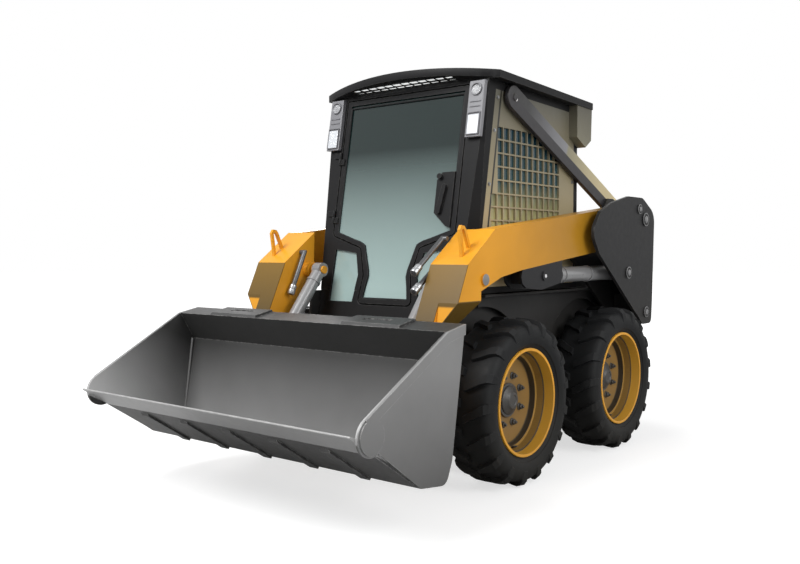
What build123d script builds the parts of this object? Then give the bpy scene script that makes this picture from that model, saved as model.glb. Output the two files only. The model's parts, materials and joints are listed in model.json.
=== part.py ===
from build123d import *
import math
import os

os.makedirs("parts", exist_ok=True)

# Skid steer loader, millimetres. +X is the machine's left, -Y its front (bucket), +Z up, z = 0 the
# ground. The origin is on the ground under the middle of the whole machine.

# ---- Driving dimensions ----
WHEELBASE = 998.0
MID_AXLE_Y = 175.0  # midway between the axles
AXLE_Y = {"front": MID_AXLE_Y - WHEELBASE / 2, "rear": MID_AXLE_Y + WHEELBASE / 2}
SIDE = {"left": 1, "right": -1}

TYRE_R = 386.5  # over the lugs
TYRE_W = 264.0
WHEEL_X = 630.0  # tyre's middle plane
RIM_R = 250.0

FRAME_X = 455.0  # half width of the lower frame
FRAME_Y = (-560.0, 1490.0)
FRAME_Z = (215.0, 600.0)
CHAINCASE_W = 118.0
PLATE = 12.0
LEDGE_Z = 875.0

CAB_X = 500.0  # half width of the cab
CAB_REAR_Y = 600.0
CAB_FLOOR_Z = 640.0
CAB_TOP_Z = 1900.0  # at the front, the cab's upper rail
CAB_LEAN = 0.173  # the front face leans back by this much for each unit up
CAB_LEAN_Y0 = -618.0  # the front face's y at ground level, if carried down
CAB_WALL = 30.0
ROOF_FALL = 0.035  # the roof falls to the rear by this much for each unit
ROOF_X = 556.0

ARM_PIVOT = (994.0, 1263.0)  # y, z of the lift arms' hinge
ARM_X = (565.0, 665.0)  # the arm beam's inner and outer faces
LEG_X = (465.0, 565.0)  # the front leg, inboard of the beam
LIFT_BASE = (769.0, 962.0)  # lift cylinder's base pin
LIFT_EYE = (-45.0, 960.0)  # lift cylinder's rod eye at rest
LIFT_X = 615.0
LIFT_RANGE = 68.0

TILT_PIVOT = (-945.0, 300.0)  # the coupler's hinge on the arms
TILT_BASE = (-535.0, 985.0)  # tilt cylinder's base pin on the arms
TILT_EYE = (-905.0, 515.0)  # tilt cylinder's rod eye at rest
TILT_X = 380.0
TILT_RANGE = 135.0

TOWER_OUT_X = (712.0, 730.0)
TOWER_IN_X = (534.0, 552.0)
BRACE_X = (510.0, 534.0)

BUCKET_X = 833.0  # half width over the side plates
BUCKET_PLATE = 12.0

RUN = 0.1  # radial running clearance at pins


def front_y(z):
    """The cab's front face at height z."""
    return CAB_LEAN_Y0 + CAB_LEAN * z


def roof_z(y, height=0.0):
    """The cab's upper rail at y, plus a height above it."""
    return CAB_TOP_Z + height - ROOF_FALL * (y - front_y(CAB_TOP_Z))


def corners(sketch, *points):
    """The sketch's corners nearest to the given points."""
    return [sketch.vertices().sort_by_distance(Vector(u, v, 0))[0] for u, v in points]


def finish(builder, name):
    builder.part.label = name
    export_step(builder.part, f"parts/{name}.step")


# ---- Chassis ----
# The lower frame is a tub: two deep chaincases joined by a belly plate and bulkheads.
FRAME_SIDE = [
    (FRAME_Y[0], 330),
    (FRAME_Y[0] + 75, FRAME_Z[0]),
    (FRAME_Y[1] - 110, FRAME_Z[0]),
    (FRAME_Y[1], 320),
    (FRAME_Y[1], FRAME_Z[1]),
    (FRAME_Y[0], FRAME_Z[1]),
]
BAY_X = FRAME_X - CHAINCASE_W
BULKHEAD_Y = 640.0  # between the cab's bay and the engine's

with BuildPart() as main_frame:
    with BuildSketch(Plane.YZ):
        Polygon(*FRAME_SIDE, align=None)
    extrude(amount=FRAME_X, both=True)
    with BuildSketch(Plane.XY.offset(FRAME_Z[0] + PLATE)):
        for y0, y1 in ((FRAME_Y[0] + 90, BULKHEAD_Y), (BULKHEAD_Y + PLATE, FRAME_Y[1] - 120)):
            with Locations((0, (y0 + y1) / 2)):
                Rectangle(2 * BAY_X, y1 - y0)
    extrude(amount=FRAME_Z[1], mode=Mode.SUBTRACT)
finish(main_frame, "main_frame")

# Axle housings: a flanged tube stands out of each chaincase towards its wheel.
HOUSING_END_X = 545.0
with BuildPart() as axle_housings:
    for axle_y in AXLE_Y.values():
        with BuildSketch(Plane.YZ.offset(FRAME_X)):
            with Locations((axle_y, TYRE_R)):
                Circle(95)
        extrude(amount=16)
        with BuildSketch(Plane.YZ.offset(FRAME_X + 16)):
            with Locations((axle_y, TYRE_R)):
                Circle(62)
        extrude(amount=HOUSING_END_X - FRAME_X - 16)
    mirror(about=Plane.YZ)
finish(axle_housings, "axle_housings")

# Upper side frames: an upright on each chaincase, a ledge over the tyres and a skirt with wheel arches.
ARCH_R = 428.0
SKIRT_X = (478.0, 490.0)
with BuildPart() as side_frames:
    with BuildSketch(Plane.YZ.offset(FRAME_X - PLATE)):
        Polygon(
            (FRAME_Y[0], FRAME_Z[1]),
            (FRAME_Y[1], FRAME_Z[1]),
            (FRAME_Y[1], 1092),
            (700, 1188),
            (620, LEDGE_Z),
            (FRAME_Y[0] + 30, LEDGE_Z),
            align=None,
        )
    extrude(amount=PLATE)
    with BuildSketch(Plane.XY.offset(LEDGE_Z - PLATE)):
        with Locations(((FRAME_X + 530) / 2, 290)):
            Rectangle(530 - FRAME_X, 1300)
    extrude(amount=PLATE)
    with BuildSketch(Plane.YZ.offset(SKIRT_X[0])):
        with Locations((290, 745)):
            Rectangle(1300, 2 * (LEDGE_Z - PLATE - 745))
        for axle_y in AXLE_Y.values():
            with Locations((axle_y, TYRE_R)):
                Circle(ARCH_R, mode=Mode.SUBTRACT)
    extrude(amount=SKIRT_X[1] - SKIRT_X[0])
    mirror(about=Plane.YZ)
finish(side_frames, "side_frames")

# Lift towers: an outer and an inner plate on each side, joined by a box beam from the frame and a
# rear plate. The arm's rear end and the lift cylinder's base sit between the plates.
TOWER_OUTLINE = [
    (331, 1180),
    (430, 1290),
    (556, 1340),
    (770, 1385),
    (960, 1385),
    (1128, 1300),
    (1105, 784),
    (1095, 662),
    (975, 662),
    (419, 1065),
]
TOWER_INNER_OUTLINE = [
    (331, 1180),
    (430, 1258),
    (800, 1306),
    (890, 1385),
] + TOWER_OUTLINE[4:]
TOWER_PINS = {"arm": (ARM_PIVOT, 36.0), "lift": (LIFT_BASE, 24.0)}
TOWER_BEAM_Y = (985.0, 1104.0)
TOWER_BEAM_Z = (700.0, 830.0)
with BuildPart() as towers:
    for (x0, x1), outline in ((TOWER_OUT_X, TOWER_OUTLINE), (TOWER_IN_X, TOWER_INNER_OUTLINE)):
        with BuildSketch(Plane.YZ.offset(x0)) as plate:
            Polygon(*outline, align=None)
            fillet(corners(plate, (331, 1180)), radius=70)
            fillet(corners(plate, (960, 1385), (1128, 1300)), radius=90)
            fillet(corners(plate, (1095, 662), (975, 662)), radius=35)
            with Locations((AXLE_Y["rear"], TYRE_R)):
                Circle(TYRE_R + 16, mode=Mode.SUBTRACT)
        extrude(amount=x1 - x0)
    with BuildSketch(Plane.XY.offset(TOWER_BEAM_Z[0])):
        with Locations(((FRAME_X + TOWER_OUT_X[0]) / 2, sum(TOWER_BEAM_Y) / 2)):
            Rectangle(TOWER_OUT_X[0] - FRAME_X, TOWER_BEAM_Y[1] - TOWER_BEAM_Y[0])
    extrude(amount=TOWER_BEAM_Z[1] - TOWER_BEAM_Z[0])
    with BuildSketch(Plane.XY.offset(TOWER_BEAM_Z[1])):
        with Locations(((TOWER_IN_X[1] + TOWER_OUT_X[0]) / 2, TOWER_BEAM_Y[1] - 6)):
            Rectangle(TOWER_OUT_X[0] - TOWER_IN_X[1], PLATE)
    extrude(amount=260)
    for (pin_y, pin_z), pin_r in TOWER_PINS.values():
        with BuildSketch(Plane.YZ.offset(TOWER_IN_X[0])):
            with Locations((pin_y, pin_z)):
                Circle(pin_r)
        extrude(amount=TOWER_OUT_X[1] - TOWER_IN_X[0])
    for (disc_y, disc_z), disc_r in ((ARM_PIVOT, 34), (LIFT_BASE, 29), ((913, 1319), 24), ((1013, 731), 27)):
        with BuildSketch(Plane.YZ.offset(TOWER_OUT_X[1])):
            with Locations((disc_y, disc_z)):
                Circle(disc_r)
        extrude(amount=9)
    mirror(about=Plane.YZ)
finish(towers, "towers")

with BuildPart() as engine_block:
    with BuildSketch(Plane.XY.offset(FRAME_Z[0] + PLATE)):
        with Locations((0, 1050)):
            Rectangle(480, 560)
    extrude(amount=640)
finish(engine_block, "engine_block")

# Rear body: cross frame round the engine door, with a bulkhead behind the cab.
REAR_DOOR_Z = (610.0, 1060.0)
REAR_DOOR_X = 385.0
REAR_BODY_TOP = 1090.0
with BuildPart() as rear_body:
    with BuildSketch(Plane.XZ.offset(-FRAME_Y[1])):
        with Locations((0, (FRAME_Z[1] + REAR_BODY_TOP) / 2)):
            Rectangle(2 * FRAME_X, REAR_BODY_TOP - FRAME_Z[1])
        with Locations((0, sum(REAR_DOOR_Z) / 2)):
            Rectangle(2 * REAR_DOOR_X + 12, REAR_DOOR_Z[1] - REAR_DOOR_Z[0] + 12, mode=Mode.SUBTRACT)
    extrude(amount=-50)
finish(rear_body, "rear_body")

BUMPER_Y = (FRAME_Y[1], 1625.0)
BUMPER_Z = (250.0, 480.0)
TIE_DOWN = (360.0, 1562.0)
TIE_DOWN_R = 22.0
HITCH_SPACING = (300.0, 120.0)
HITCH_HOLE_R = 9.0
HITCH_DEPTH = 40.0
with BuildPart() as rear_bumper:
    with BuildSketch(Plane.XY.offset(BUMPER_Z[0])) as bumper_plan:
        with Locations((0, sum(BUMPER_Y) / 2)):
            Rectangle(2 * FRAME_X, BUMPER_Y[1] - BUMPER_Y[0])
        fillet(corners(bumper_plan, (FRAME_X, BUMPER_Y[1]), (-FRAME_X, BUMPER_Y[1])), radius=60)
    extrude(amount=BUMPER_Z[1] - BUMPER_Z[0])
    with BuildSketch(Plane.XY.offset(BUMPER_Z[0])):
        with Locations((TIE_DOWN[0], TIE_DOWN[1]), (-TIE_DOWN[0], TIE_DOWN[1])):
            Circle(TIE_DOWN_R)
    extrude(amount=BUMPER_Z[1] - BUMPER_Z[0], mode=Mode.SUBTRACT)
    with BuildSketch(Plane.XZ.offset(-BUMPER_Y[1])):
        with Locations((0, sum(BUMPER_Z) / 2)):
            with GridLocations(*HITCH_SPACING, 2, 2):
                Circle(HITCH_HOLE_R)
    extrude(amount=HITCH_DEPTH, mode=Mode.SUBTRACT)
finish(rear_bumper, "rear_bumper")

HOOD_FRONT = (660.0, 1225.0)
HOOD_REAR = (1535.0, 1118.0)
HOOD_T = 25.0
with BuildPart() as hood:
    with BuildSketch(Plane.YZ):
        Polygon(
            HOOD_FRONT,
            (HOOD_FRONT[0], HOOD_FRONT[1] - HOOD_T),
            (HOOD_REAR[0], HOOD_REAR[1] - HOOD_T),
            HOOD_REAR,
            align=None,
        )
    extrude(amount=FRAME_X - 2, both=True)
finish(hood, "hood")

SLATS = 9
DOOR_BAR = 45.0
with BuildPart() as rear_door:
    door_h = REAR_DOOR_Z[1] - REAR_DOOR_Z[0]
    with BuildSketch(Plane.XZ.offset(-FRAME_Y[1] - 8)):
        with Locations((0, sum(REAR_DOOR_Z) / 2)):
            Rectangle(2 * REAR_DOOR_X, door_h)
            Rectangle(2 * (REAR_DOOR_X - DOOR_BAR), door_h - 2 * DOOR_BAR, mode=Mode.SUBTRACT)
    extrude(amount=-48)
    with BuildSketch(Plane.XZ.offset(-FRAME_Y[1] - 20)):
        with Locations((0, sum(REAR_DOOR_Z) / 2)):
            with GridLocations(1, (door_h - 2 * DOOR_BAR) / (SLATS + 1), 1, SLATS):
                Rectangle(2 * (REAR_DOOR_X - DOOR_BAR) + 2, 16)
    extrude(amount=-24)
finish(rear_door, "rear_door")

# ---- Cab ----
# Seen from the side: leaning front, flat rear, roof rail falling to the rear.
SEAM_BACK = 68.0  # the corner pillar's depth behind the front face
SIDE_PANEL_LOW = 910.0
PANEL_REAR_Y = 560.0


CAB_WAIST_Z = 880.0  # above this the cab spreads over the side frames
CAB_LOW_X = 440.0
FRONT_WALL = 48.0


def cab_outline(low, front, rear):
    """The cab seen from the side, from a height up to the roof, within its front and rear walls."""
    top_y = front_y(CAB_TOP_Z) + front
    return [
        (front_y(low) + front, low),
        (top_y, roof_z(top_y)),
        (CAB_REAR_Y - rear, roof_z(CAB_REAR_Y - rear)),
        (CAB_REAR_Y - rear, low),
    ]


SIDE_PANEL = [
    (front_y(SIDE_PANEL_LOW) + SEAM_BACK, SIDE_PANEL_LOW),
    (front_y(1858) + SEAM_BACK, 1858),
    (PANEL_REAR_Y, roof_z(PANEL_REAR_Y) - 34),
    (PANEL_REAR_Y, SIDE_PANEL_LOW),
]
# The door's right half seen from the front: x, z.
DOOR_TOP = (392.0, 1880.0)
DOOR_WAIST = (392.0, 1165.0)
DOOR_STEP = (190.0, 1100.0)
DOOR_LOW = (150.0, 960.0)
DOOR_SILL = (172.0, 816.0)
DOOR_HALF = [DOOR_TOP, DOOR_WAIST, DOOR_STEP, DOOR_LOW, DOOR_SILL]


def mirrored(points):
    """A closed outline from its half at x > 0, listed from the top down."""
    return points + [(-x, z) for x, z in reversed(points)]


DOOR_GAP = 6.0
CORNER_WINDOW = [(218, 1072), (365, 1090), (372, 822), (214, 822), (190, 960)]

DOOR_HINGES = ((1230.0, 1262.0), (1540.0, 1572.0))  # each door knuckle's heights; its mate is above it
HINGE_X = -400.0
HINGE_OUT = 8.0  # the hinge line stands this far in front of the face
HINGE_R = 7.7
KNUCKLE_LEN = 32.0


def hinge_plane(height):
    """The plane across the door's leaning hinge line at a height."""
    return Plane(origin=(HINGE_X, front_y(height) - HINGE_OUT, height), x_dir=(1, 0, 0), z_dir=(0, CAB_LEAN, 1))


# The front corners are cut back below, so the face narrows towards the waist: height, cut across.
CORNER_CUTS = ((CAB_WAIST_Z - 1, 60.0), (1880.0, 1.0))
with BuildPart() as corner_wedge:
    for height, cut in CORNER_CUTS:
        with BuildSketch(Plane.XY.offset(height)):
            Polygon(
                (CAB_X + 1, front_y(height) - 1),
                (CAB_X - cut, front_y(height) - 1),
                (CAB_X + 1, front_y(height) + cut * 1.1),
                align=None,
            )
    loft()
    mirror(about=Plane.YZ)

# The tub under the waist: floor, walls and the foot of the doorway.
with BuildPart() as cab_tub:
    with BuildSketch(Plane.YZ):
        Polygon(*cab_outline(CAB_FLOOR_Z, 0, 0), align=None)
    extrude(amount=CAB_LOW_X, both=True)
    with BuildSketch(Plane.YZ):
        Polygon(*cab_outline(CAB_FLOOR_Z + CAB_WALL, FRONT_WALL, CAB_WALL), align=None)
    extrude(amount=CAB_LOW_X - CAB_WALL, both=True, mode=Mode.SUBTRACT)
    with BuildSketch(Plane.XY.offset(CAB_WAIST_Z)):
        Rectangle(3 * CAB_X, 6 * CAB_X)
    extrude(amount=CAB_TOP_Z, mode=Mode.SUBTRACT)
    with BuildSketch(Plane.XZ.offset(100)) as doorway_foot:
        Polygon(*mirrored(DOOR_HALF), align=None)
        fillet(corners(doorway_foot, *[(s * x, z) for s in (1, -1) for x, z in DOOR_HALF[1:]]), radius=24)
        offset(amount=DOOR_GAP, mode=Mode.REPLACE)
        for s in SIDE.values():
            Polygon(*[(s * x, z) for x, z in CORNER_WINDOW], align=None)
    extrude(amount=500, mode=Mode.SUBTRACT)
finish(cab_tub, "cab_tub")

with BuildPart() as cab_frame:
    with BuildSketch(Plane.YZ):
        Polygon(*cab_outline(CAB_WAIST_Z, 0, 0), align=None)
    extrude(amount=CAB_X, both=True)
    with BuildSketch(Plane.YZ):
        Polygon(*cab_outline(CAB_WAIST_Z - 1, FRONT_WALL, CAB_WALL), align=None)
    extrude(amount=CAB_LOW_X - CAB_WALL, both=True, mode=Mode.SUBTRACT)
    with BuildSketch(Plane.YZ):
        Polygon(*cab_outline(CAB_WAIST_Z + CAB_WALL, FRONT_WALL, CAB_WALL), align=None)
    extrude(amount=CAB_X - CAB_WALL, both=True, mode=Mode.SUBTRACT)
    with BuildSketch(Plane.YZ):
        Polygon(*SIDE_PANEL, align=None)
    extrude(amount=CAB_X, both=True, mode=Mode.SUBTRACT)
    with BuildSketch(Plane.XZ.offset(100)) as doorway:
        Polygon(*mirrored(DOOR_HALF), align=None)
        fillet(corners(doorway, *[(s * x, z) for s in (1, -1) for x, z in DOOR_HALF[1:]]), radius=24)
        offset(amount=DOOR_GAP, mode=Mode.REPLACE)
        for s in SIDE.values():
            Polygon(*[(s * x, z) for x, z in CORNER_WINDOW], align=None)
    extrude(amount=500, mode=Mode.SUBTRACT)
    with BuildSketch(Plane.XZ.offset(-CAB_REAR_Y + 60)):
        with Locations((0, 1425)):
            Rectangle(640, 350)
    extrude(amount=-120, mode=Mode.SUBTRACT)
    add(corner_wedge.part, mode=Mode.SUBTRACT)
    for low, high in DOOR_HINGES:
        with BuildSketch(Plane.YZ.offset(HINGE_X - 45)):
            Polygon(
                (front_y(high + 4) - HINGE_OUT, high + 4),
                (front_y(2 * high - low) - HINGE_OUT, 2 * high - low),
                (front_y(2 * high - low), 2 * high - low),
                (front_y(high + 4), high + 4),
                align=None,
            )
        extrude(amount=45)
        with BuildSketch(hinge_plane(high + 1)):
            Circle(HINGE_R)
        extrude(amount=KNUCKLE_LEN)
finish(cab_frame, "cab_frame")

# Side panels with the screen cut in rows and columns; the front column follows the leaning seam.
CELL = (48.0, 57.0)
PITCH = (56.0, 65.0)
SCREEN_REAR_Y = 400.0
SCREEN_TOP_Z = 1685.0
SCREEN_COLS = 11
SCREEN_ROWS = 9
with BuildPart() as cab_sides:
    with BuildSketch(Plane.YZ.offset(CAB_X - CAB_WALL)):
        Polygon(*SIDE_PANEL, align=None)
    extrude(amount=CAB_WALL)
    with BuildSketch(Plane.YZ.offset(CAB_X - CAB_WALL)):
        for row in range(SCREEN_ROWS):
            z = SCREEN_TOP_Z - PITCH[1] * (row + 0.5)
            seam_y = front_y(z - PITCH[1] / 2) + SEAM_BACK + 55
            for col in range(SCREEN_COLS + 1):
                y = SCREEN_REAR_Y - PITCH[0] * (col + 0.5)
                if y - CELL[0] / 2 > seam_y:
                    with Locations((y, z)):
                        Rectangle(*CELL)
    extrude(amount=CAB_WALL, mode=Mode.SUBTRACT)
    mirror(about=Plane.YZ)
finish(cab_sides, "cab_sides")

# Roof: a crowned slab whose bowed front is a visor, with rows of roof lights.
ROOF_T = 36.0
ROOF_CROWN = 34.0
ROOF_BOW = 112.0
ROOF_FRONT_Y = -278.0
ROOF_REAR_Y = 676.0
VISOR_RISE = 0.21  # the visor's underside rises to the front by this much for each unit
VISOR_ARCH = 14.0
LIGHT_COLS = 12
LIGHT_PITCH = 54.0
LIGHT_W = 44.0
LIGHT_ROWS = ((-342.0, -315.0), (-307.0, -291.0), (-135.0, -85.0))  # each row's front and rear y
roof_dir = Vector(0, 1, -ROOF_FALL).normalized()
roof_up = Vector(0, ROOF_FALL, 1).normalized()
roof_plane = Plane(
    origin=(0, ROOF_REAR_Y, roof_z(ROOF_REAR_Y)), x_dir=(1, 0, 0), z_dir=-roof_dir
)
visor_plane = Plane(
    origin=(0, front_y(CAB_TOP_Z), CAB_TOP_Z), x_dir=(1, 0, 0), z_dir=(0, -1, VISOR_RISE)
)
with BuildPart() as cab_roof:
    with BuildSketch(roof_plane):
        with BuildLine():
            Polyline((-ROOF_X, ROOF_T), (-ROOF_X, 0), (ROOF_X, 0), (ROOF_X, ROOF_T))
            ThreePointArc((-ROOF_X, ROOF_T), (0, ROOF_T + ROOF_CROWN), (ROOF_X, ROOF_T))
        make_face()
    extrude(amount=1100)
    with BuildSketch(Plane.XY.offset(1700)):
        with BuildLine():
            Polyline(
                (-ROOF_X, ROOF_FRONT_Y), (-ROOF_X, ROOF_REAR_Y), (ROOF_X, ROOF_REAR_Y), (ROOF_X, ROOF_FRONT_Y)
            )
            ThreePointArc((-ROOF_X, ROOF_FRONT_Y), (0, ROOF_FRONT_Y - ROOF_BOW), (ROOF_X, ROOF_FRONT_Y))
        make_face()
    extrude(amount=400, mode=Mode.INTERSECT)
    with BuildSketch(visor_plane):
        with BuildLine():
            Polyline((-600, 0), (-600, -60), (600, -60), (600, 0))
            ThreePointArc((-600, 0), (0, VISOR_ARCH), (600, 0))
        make_face()
    extrude(amount=300, mode=Mode.SUBTRACT)
    with BuildSketch(Plane.XY.offset(1800)):
        for y0, y1 in LIGHT_ROWS:
            with Locations((0, (y0 + y1) / 2)):
                with GridLocations(LIGHT_PITCH, 1, LIGHT_COLS, 1):
                    Rectangle(LIGHT_W, y1 - y0)
    extrude(amount=300, mode=Mode.SUBTRACT)
finish(cab_roof, "cab_roof")

# The box under the roof's rear edge, wrapped round the cab's rear corners.
ROOF_BOX_Y = 505.0
with BuildPart() as roof_box:
    with BuildSketch(Plane.YZ):
        Polygon(
            (ROOF_BOX_Y, roof_z(ROOF_BOX_Y)),
            (ROOF_BOX_Y, 1700),
            (602, 1652),
            (668, 1695),
            (ROOF_REAR_Y, roof_z(ROOF_REAR_Y)),
            align=None,
        )
    extrude(amount=ROOF_X - 6, both=True)
    with BuildSketch(Plane.YZ):
        Polygon(*cab_outline(1600, 0, 0), align=None)
    extrude(amount=CAB_X, both=True, mode=Mode.SUBTRACT)
finish(roof_box, "roof_box")

GLASS = 6.0
with BuildPart() as cab_glass:
    with BuildSketch(Plane.YZ):
        Polygon(
            (front_y(CAB_FLOOR_Z) + 12, CAB_FLOOR_Z),
            (front_y(1200) + 12, 1200),
            (front_y(1200) + 12 + GLASS, 1200),
            (front_y(CAB_FLOOR_Z) + 12 + GLASS, CAB_FLOOR_Z),
            align=None,
        )
    extrude(amount=CAB_X, both=True)
    with BuildSketch(Plane.XZ.offset(100)):
        for s in SIDE.values():
            Polygon(*[(s * x, z) for x, z in CORNER_WINDOW], align=None)
    extrude(amount=700, mode=Mode.INTERSECT)
    with BuildSketch(Plane.XZ.offset(-CAB_REAR_Y + 18)):
        with Locations((0, 1425)):
            Rectangle(640, 350)
    extrude(amount=GLASS)
finish(cab_glass, "cab_glass")

# Braces: flat bars from the cab's upper front corners down to the towers.
BRACE_TOP = (-112.0, 1830.0)
BRACE_LOW = (1062.0, 1310.0)
BRACE_W = 118.0
brace_mid = ((BRACE_TOP[0] + BRACE_LOW[0]) / 2, (BRACE_TOP[1] + BRACE_LOW[1]) / 2)
brace_len = math.dist(BRACE_TOP, BRACE_LOW)
brace_angle = math.degrees(math.atan2(BRACE_LOW[1] - BRACE_TOP[1], BRACE_LOW[0] - BRACE_TOP[0]))
with BuildPart() as braces:
    with BuildSketch(Plane.YZ.offset(BRACE_X[0])):
        with Locations(brace_mid):
            SlotCenterToCenter(brace_len, BRACE_W, rotation=brace_angle)
    extrude(amount=BRACE_X[1] - BRACE_X[0])
    with BuildSketch(Plane.YZ.offset(CAB_X)):
        with Locations(BRACE_TOP):
            Circle(40)
    extrude(amount=BRACE_X[0] - CAB_X)
    with BuildSketch(Plane.YZ.offset(BRACE_X[1])):
        with Locations(BRACE_TOP):
            Circle(17)
    extrude(amount=6)
    mirror(about=Plane.YZ)
finish(braces, "braces")

# ---- Door, hinged on the machine's right ----
DOOR_T = 34.0
DOOR_RING = 24.0
DOOR_SLAB_Z = (700.0, 1950.0)


def front_slab(inner, outer):
    """A slab parallel to the cab's front face, between two depths behind it."""
    z0, z1 = DOOR_SLAB_Z
    return [
        (front_y(z0) + inner, z0),
        (front_y(z1) + inner, z1),
        (front_y(z1) + outer, z1),
        (front_y(z0) + outer, z0),
    ]


with BuildPart() as door_frame:
    with BuildSketch(Plane.YZ):
        Polygon(*front_slab(0, DOOR_T), align=None)
    extrude(amount=CAB_X, both=True)
    with BuildSketch(Plane.XZ.offset(100)) as door_ring:
        Polygon(*mirrored(DOOR_HALF), align=None)
        fillet(corners(door_ring, *[(s * x, z) for s in (1, -1) for x, z in DOOR_HALF[1:]]), radius=24)
        offset(amount=-DOOR_RING, mode=Mode.SUBTRACT)
    extrude(amount=600, mode=Mode.INTERSECT)
    for low, high in DOOR_HINGES:
        with BuildSketch(Plane.YZ.offset(HINGE_X + 4)):
            Polygon(
                (front_y(low) - HINGE_OUT, low),
                (front_y(high - 3) - HINGE_OUT, high - 3),
                (front_y(high - 3), high - 3),
                (front_y(low), low),
                align=None,
            )
        extrude(amount=26)
        with BuildSketch(hinge_plane(low)):
            Circle(HINGE_R)
        extrude(amount=KNUCKLE_LEN)
finish(door_frame, "door_frame")

with BuildPart() as door_glass:
    with BuildSketch(Plane.YZ):
        Polygon(*front_slab(10, 10 + GLASS), align=None)
    extrude(amount=CAB_X, both=True)
    with BuildSketch(Plane.XZ.offset(100)) as pane:
        Polygon(*mirrored(DOOR_HALF), align=None)
        fillet(corners(pane, *[(s * x, z) for s in (1, -1) for x, z in DOOR_HALF[1:]]), radius=24)
        offset(amount=-DOOR_RING, mode=Mode.REPLACE)
    extrude(amount=600, mode=Mode.INTERSECT)
finish(door_glass, "door_glass")

HANDLE = [(364, 1462), (364, 1192), (338, 1200), (262, 1265), (262, 1425), (290, 1462)]
with BuildPart() as door_handle:
    with BuildSketch(Plane.YZ):
        Polygon(*front_slab(-10, 10), align=None)
    extrude(amount=CAB_X, both=True)
    with BuildSketch(Plane.XZ.offset(100)):
        Polygon(*HANDLE, align=None)
    extrude(amount=600, mode=Mode.INTERSECT)
    lever_plane = Plane(
        origin=(305, front_y(1330) - 10, 1330), x_dir=(1, 0, 0), z_dir=(0, -1, CAB_LEAN)
    )
    with BuildSketch(lever_plane):
        with Locations((0, 0)):
            SlotOverall(150, 24, rotation=80)
        with Locations((-22, 112)):
            Circle(14)
    extrude(amount=16)
finish(door_handle, "door_handle")

# ---- Cab fittings ----
with BuildPart() as seat_frame:
    with BuildSketch(Plane.XY.offset(CAB_FLOOR_Z + CAB_WALL)):
        with Locations((0, 300)):
            Rectangle(470, 440)
    extrude(amount=200)
    with BuildSketch(Plane.YZ):
        Polygon((470, 870), (520, 1400), (535, 1400), (530, 870), align=None)
    extrude(amount=215, both=True)
finish(seat_frame, "seat_frame")

with BuildPart() as seat_pads:
    with BuildSketch(Plane.YZ):
        Polygon((60, 870), (440, 870), (440, 940), (60, 975), align=None)
    extrude(amount=220, both=True)
    fillet(seat_pads.edges().filter_by(Axis.X).group_by(Axis.Z)[-1], radius=25)
    with BuildSketch(Plane.YZ):
        Polygon((384, 990), (466, 985), (512, 1430), (440, 1440), align=None)
    extrude(amount=215, both=True)
finish(seat_pads, "seat_pads")

with BuildPart() as consoles:
    for s in SIDE.values():
        with BuildSketch(Plane.YZ.offset(s * 345 - 60)):
            Polygon((-60, 670), (380, 670), (380, 1040), (0, 1065), (-60, 1000), align=None)
        extrude(amount=120)
        with BuildSketch(Plane.XY.offset(1050)):
            with Locations((s * 345, 20)):
                Circle(12)
        extrude(amount=120)
        with BuildSketch(Plane.XY.offset(1160)):
            with Locations((s * 345, 20)):
                Circle(22)
        extrude(amount=85)
finish(consoles, "consoles")

LAMP_X = (409.0, 495.0)
LAMP_Z = (1620.0, 1892.0)
with BuildPart() as headlamps:
    with BuildSketch(Plane.YZ):
        Polygon(*front_slab(-26, 0), align=None)
    extrude(amount=CAB_X, both=True)
    with BuildSketch(Plane.XZ.offset(100)):
        for s in SIDE.values():
            with Locations((s * sum(LAMP_X) / 2, sum(LAMP_Z) / 2)):
                Rectangle(LAMP_X[1] - LAMP_X[0], LAMP_Z[1] - LAMP_Z[0])
    extrude(amount=600, mode=Mode.INTERSECT)
finish(headlamps, "headlamps")

with BuildPart() as lamp_lenses:
    with BuildSketch(Plane.YZ):
        Polygon(*front_slab(-32, -26), align=None)
    extrude(amount=CAB_X, both=True)
    with BuildSketch(Plane.XZ.offset(100)):
        for s in SIDE.values():
            with Locations((s * 452, 1680)):
                Rectangle(64, 96)
            with Locations((s * 452, 1845)):
                Circle(26)
    extrude(amount=600, mode=Mode.INTERSECT)
    with BuildSketch(Plane.XZ.offset(-FRAME_Y[1] - 50)):
        for s in SIDE.values():
            with Locations((s * 423, 900)):
                Rectangle(46, 130)
    extrude(amount=-10)
finish(lamp_lenses, "lamp_lenses")

# ---- Lift arms ----
# The beam's outline, then the front leg's: y, z.
KNEE = (-487.0, 1180.0)
BROW = (-702.0, 1023.0)
BEAM_OUTLINE = [
    KNEE,
    BROW,
    (-778, 859),
    (-600, 905),
    (-434, 963),
    (-256, 992),
    (512, 1077),
    (985, 1160),
    (1000, 1353),
]
LEG_OUTLINE = [
    KNEE,
    BROW,
    (-814, 781),
    (-905, 400),
    (-1000, 315),
    (-985, 255),
    (-900, 262),
    (-800, 400),
    (-690, 740),
    (-560, 900),
    (-494, 1000),
]
CROSS_TUBE = (-843.0, 438.0)
CROSS_TUBE_R = 45.0
ARM_BOSS_X = (556.0, 708.0)
TILT_PIN_X = (345.0, 430.0)
HOOP_X = 598.0
HOOP_W = 15.0
HOOP_PATH = [(-650, 1050), (-669, 1172), (-660, 1186), (-645, 1184), (-635, 1172), (-596, 1090)]
GUSSET_FRONT = [(565, 925), (665, 925), (665, 859), (607, 784), (565, 730)]  # x, z
GUSSET_SIDE = [(-778, 859), (-806, 730), (-692, 730), (-600, 860), (-600, 905)]  # y, z


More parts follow.
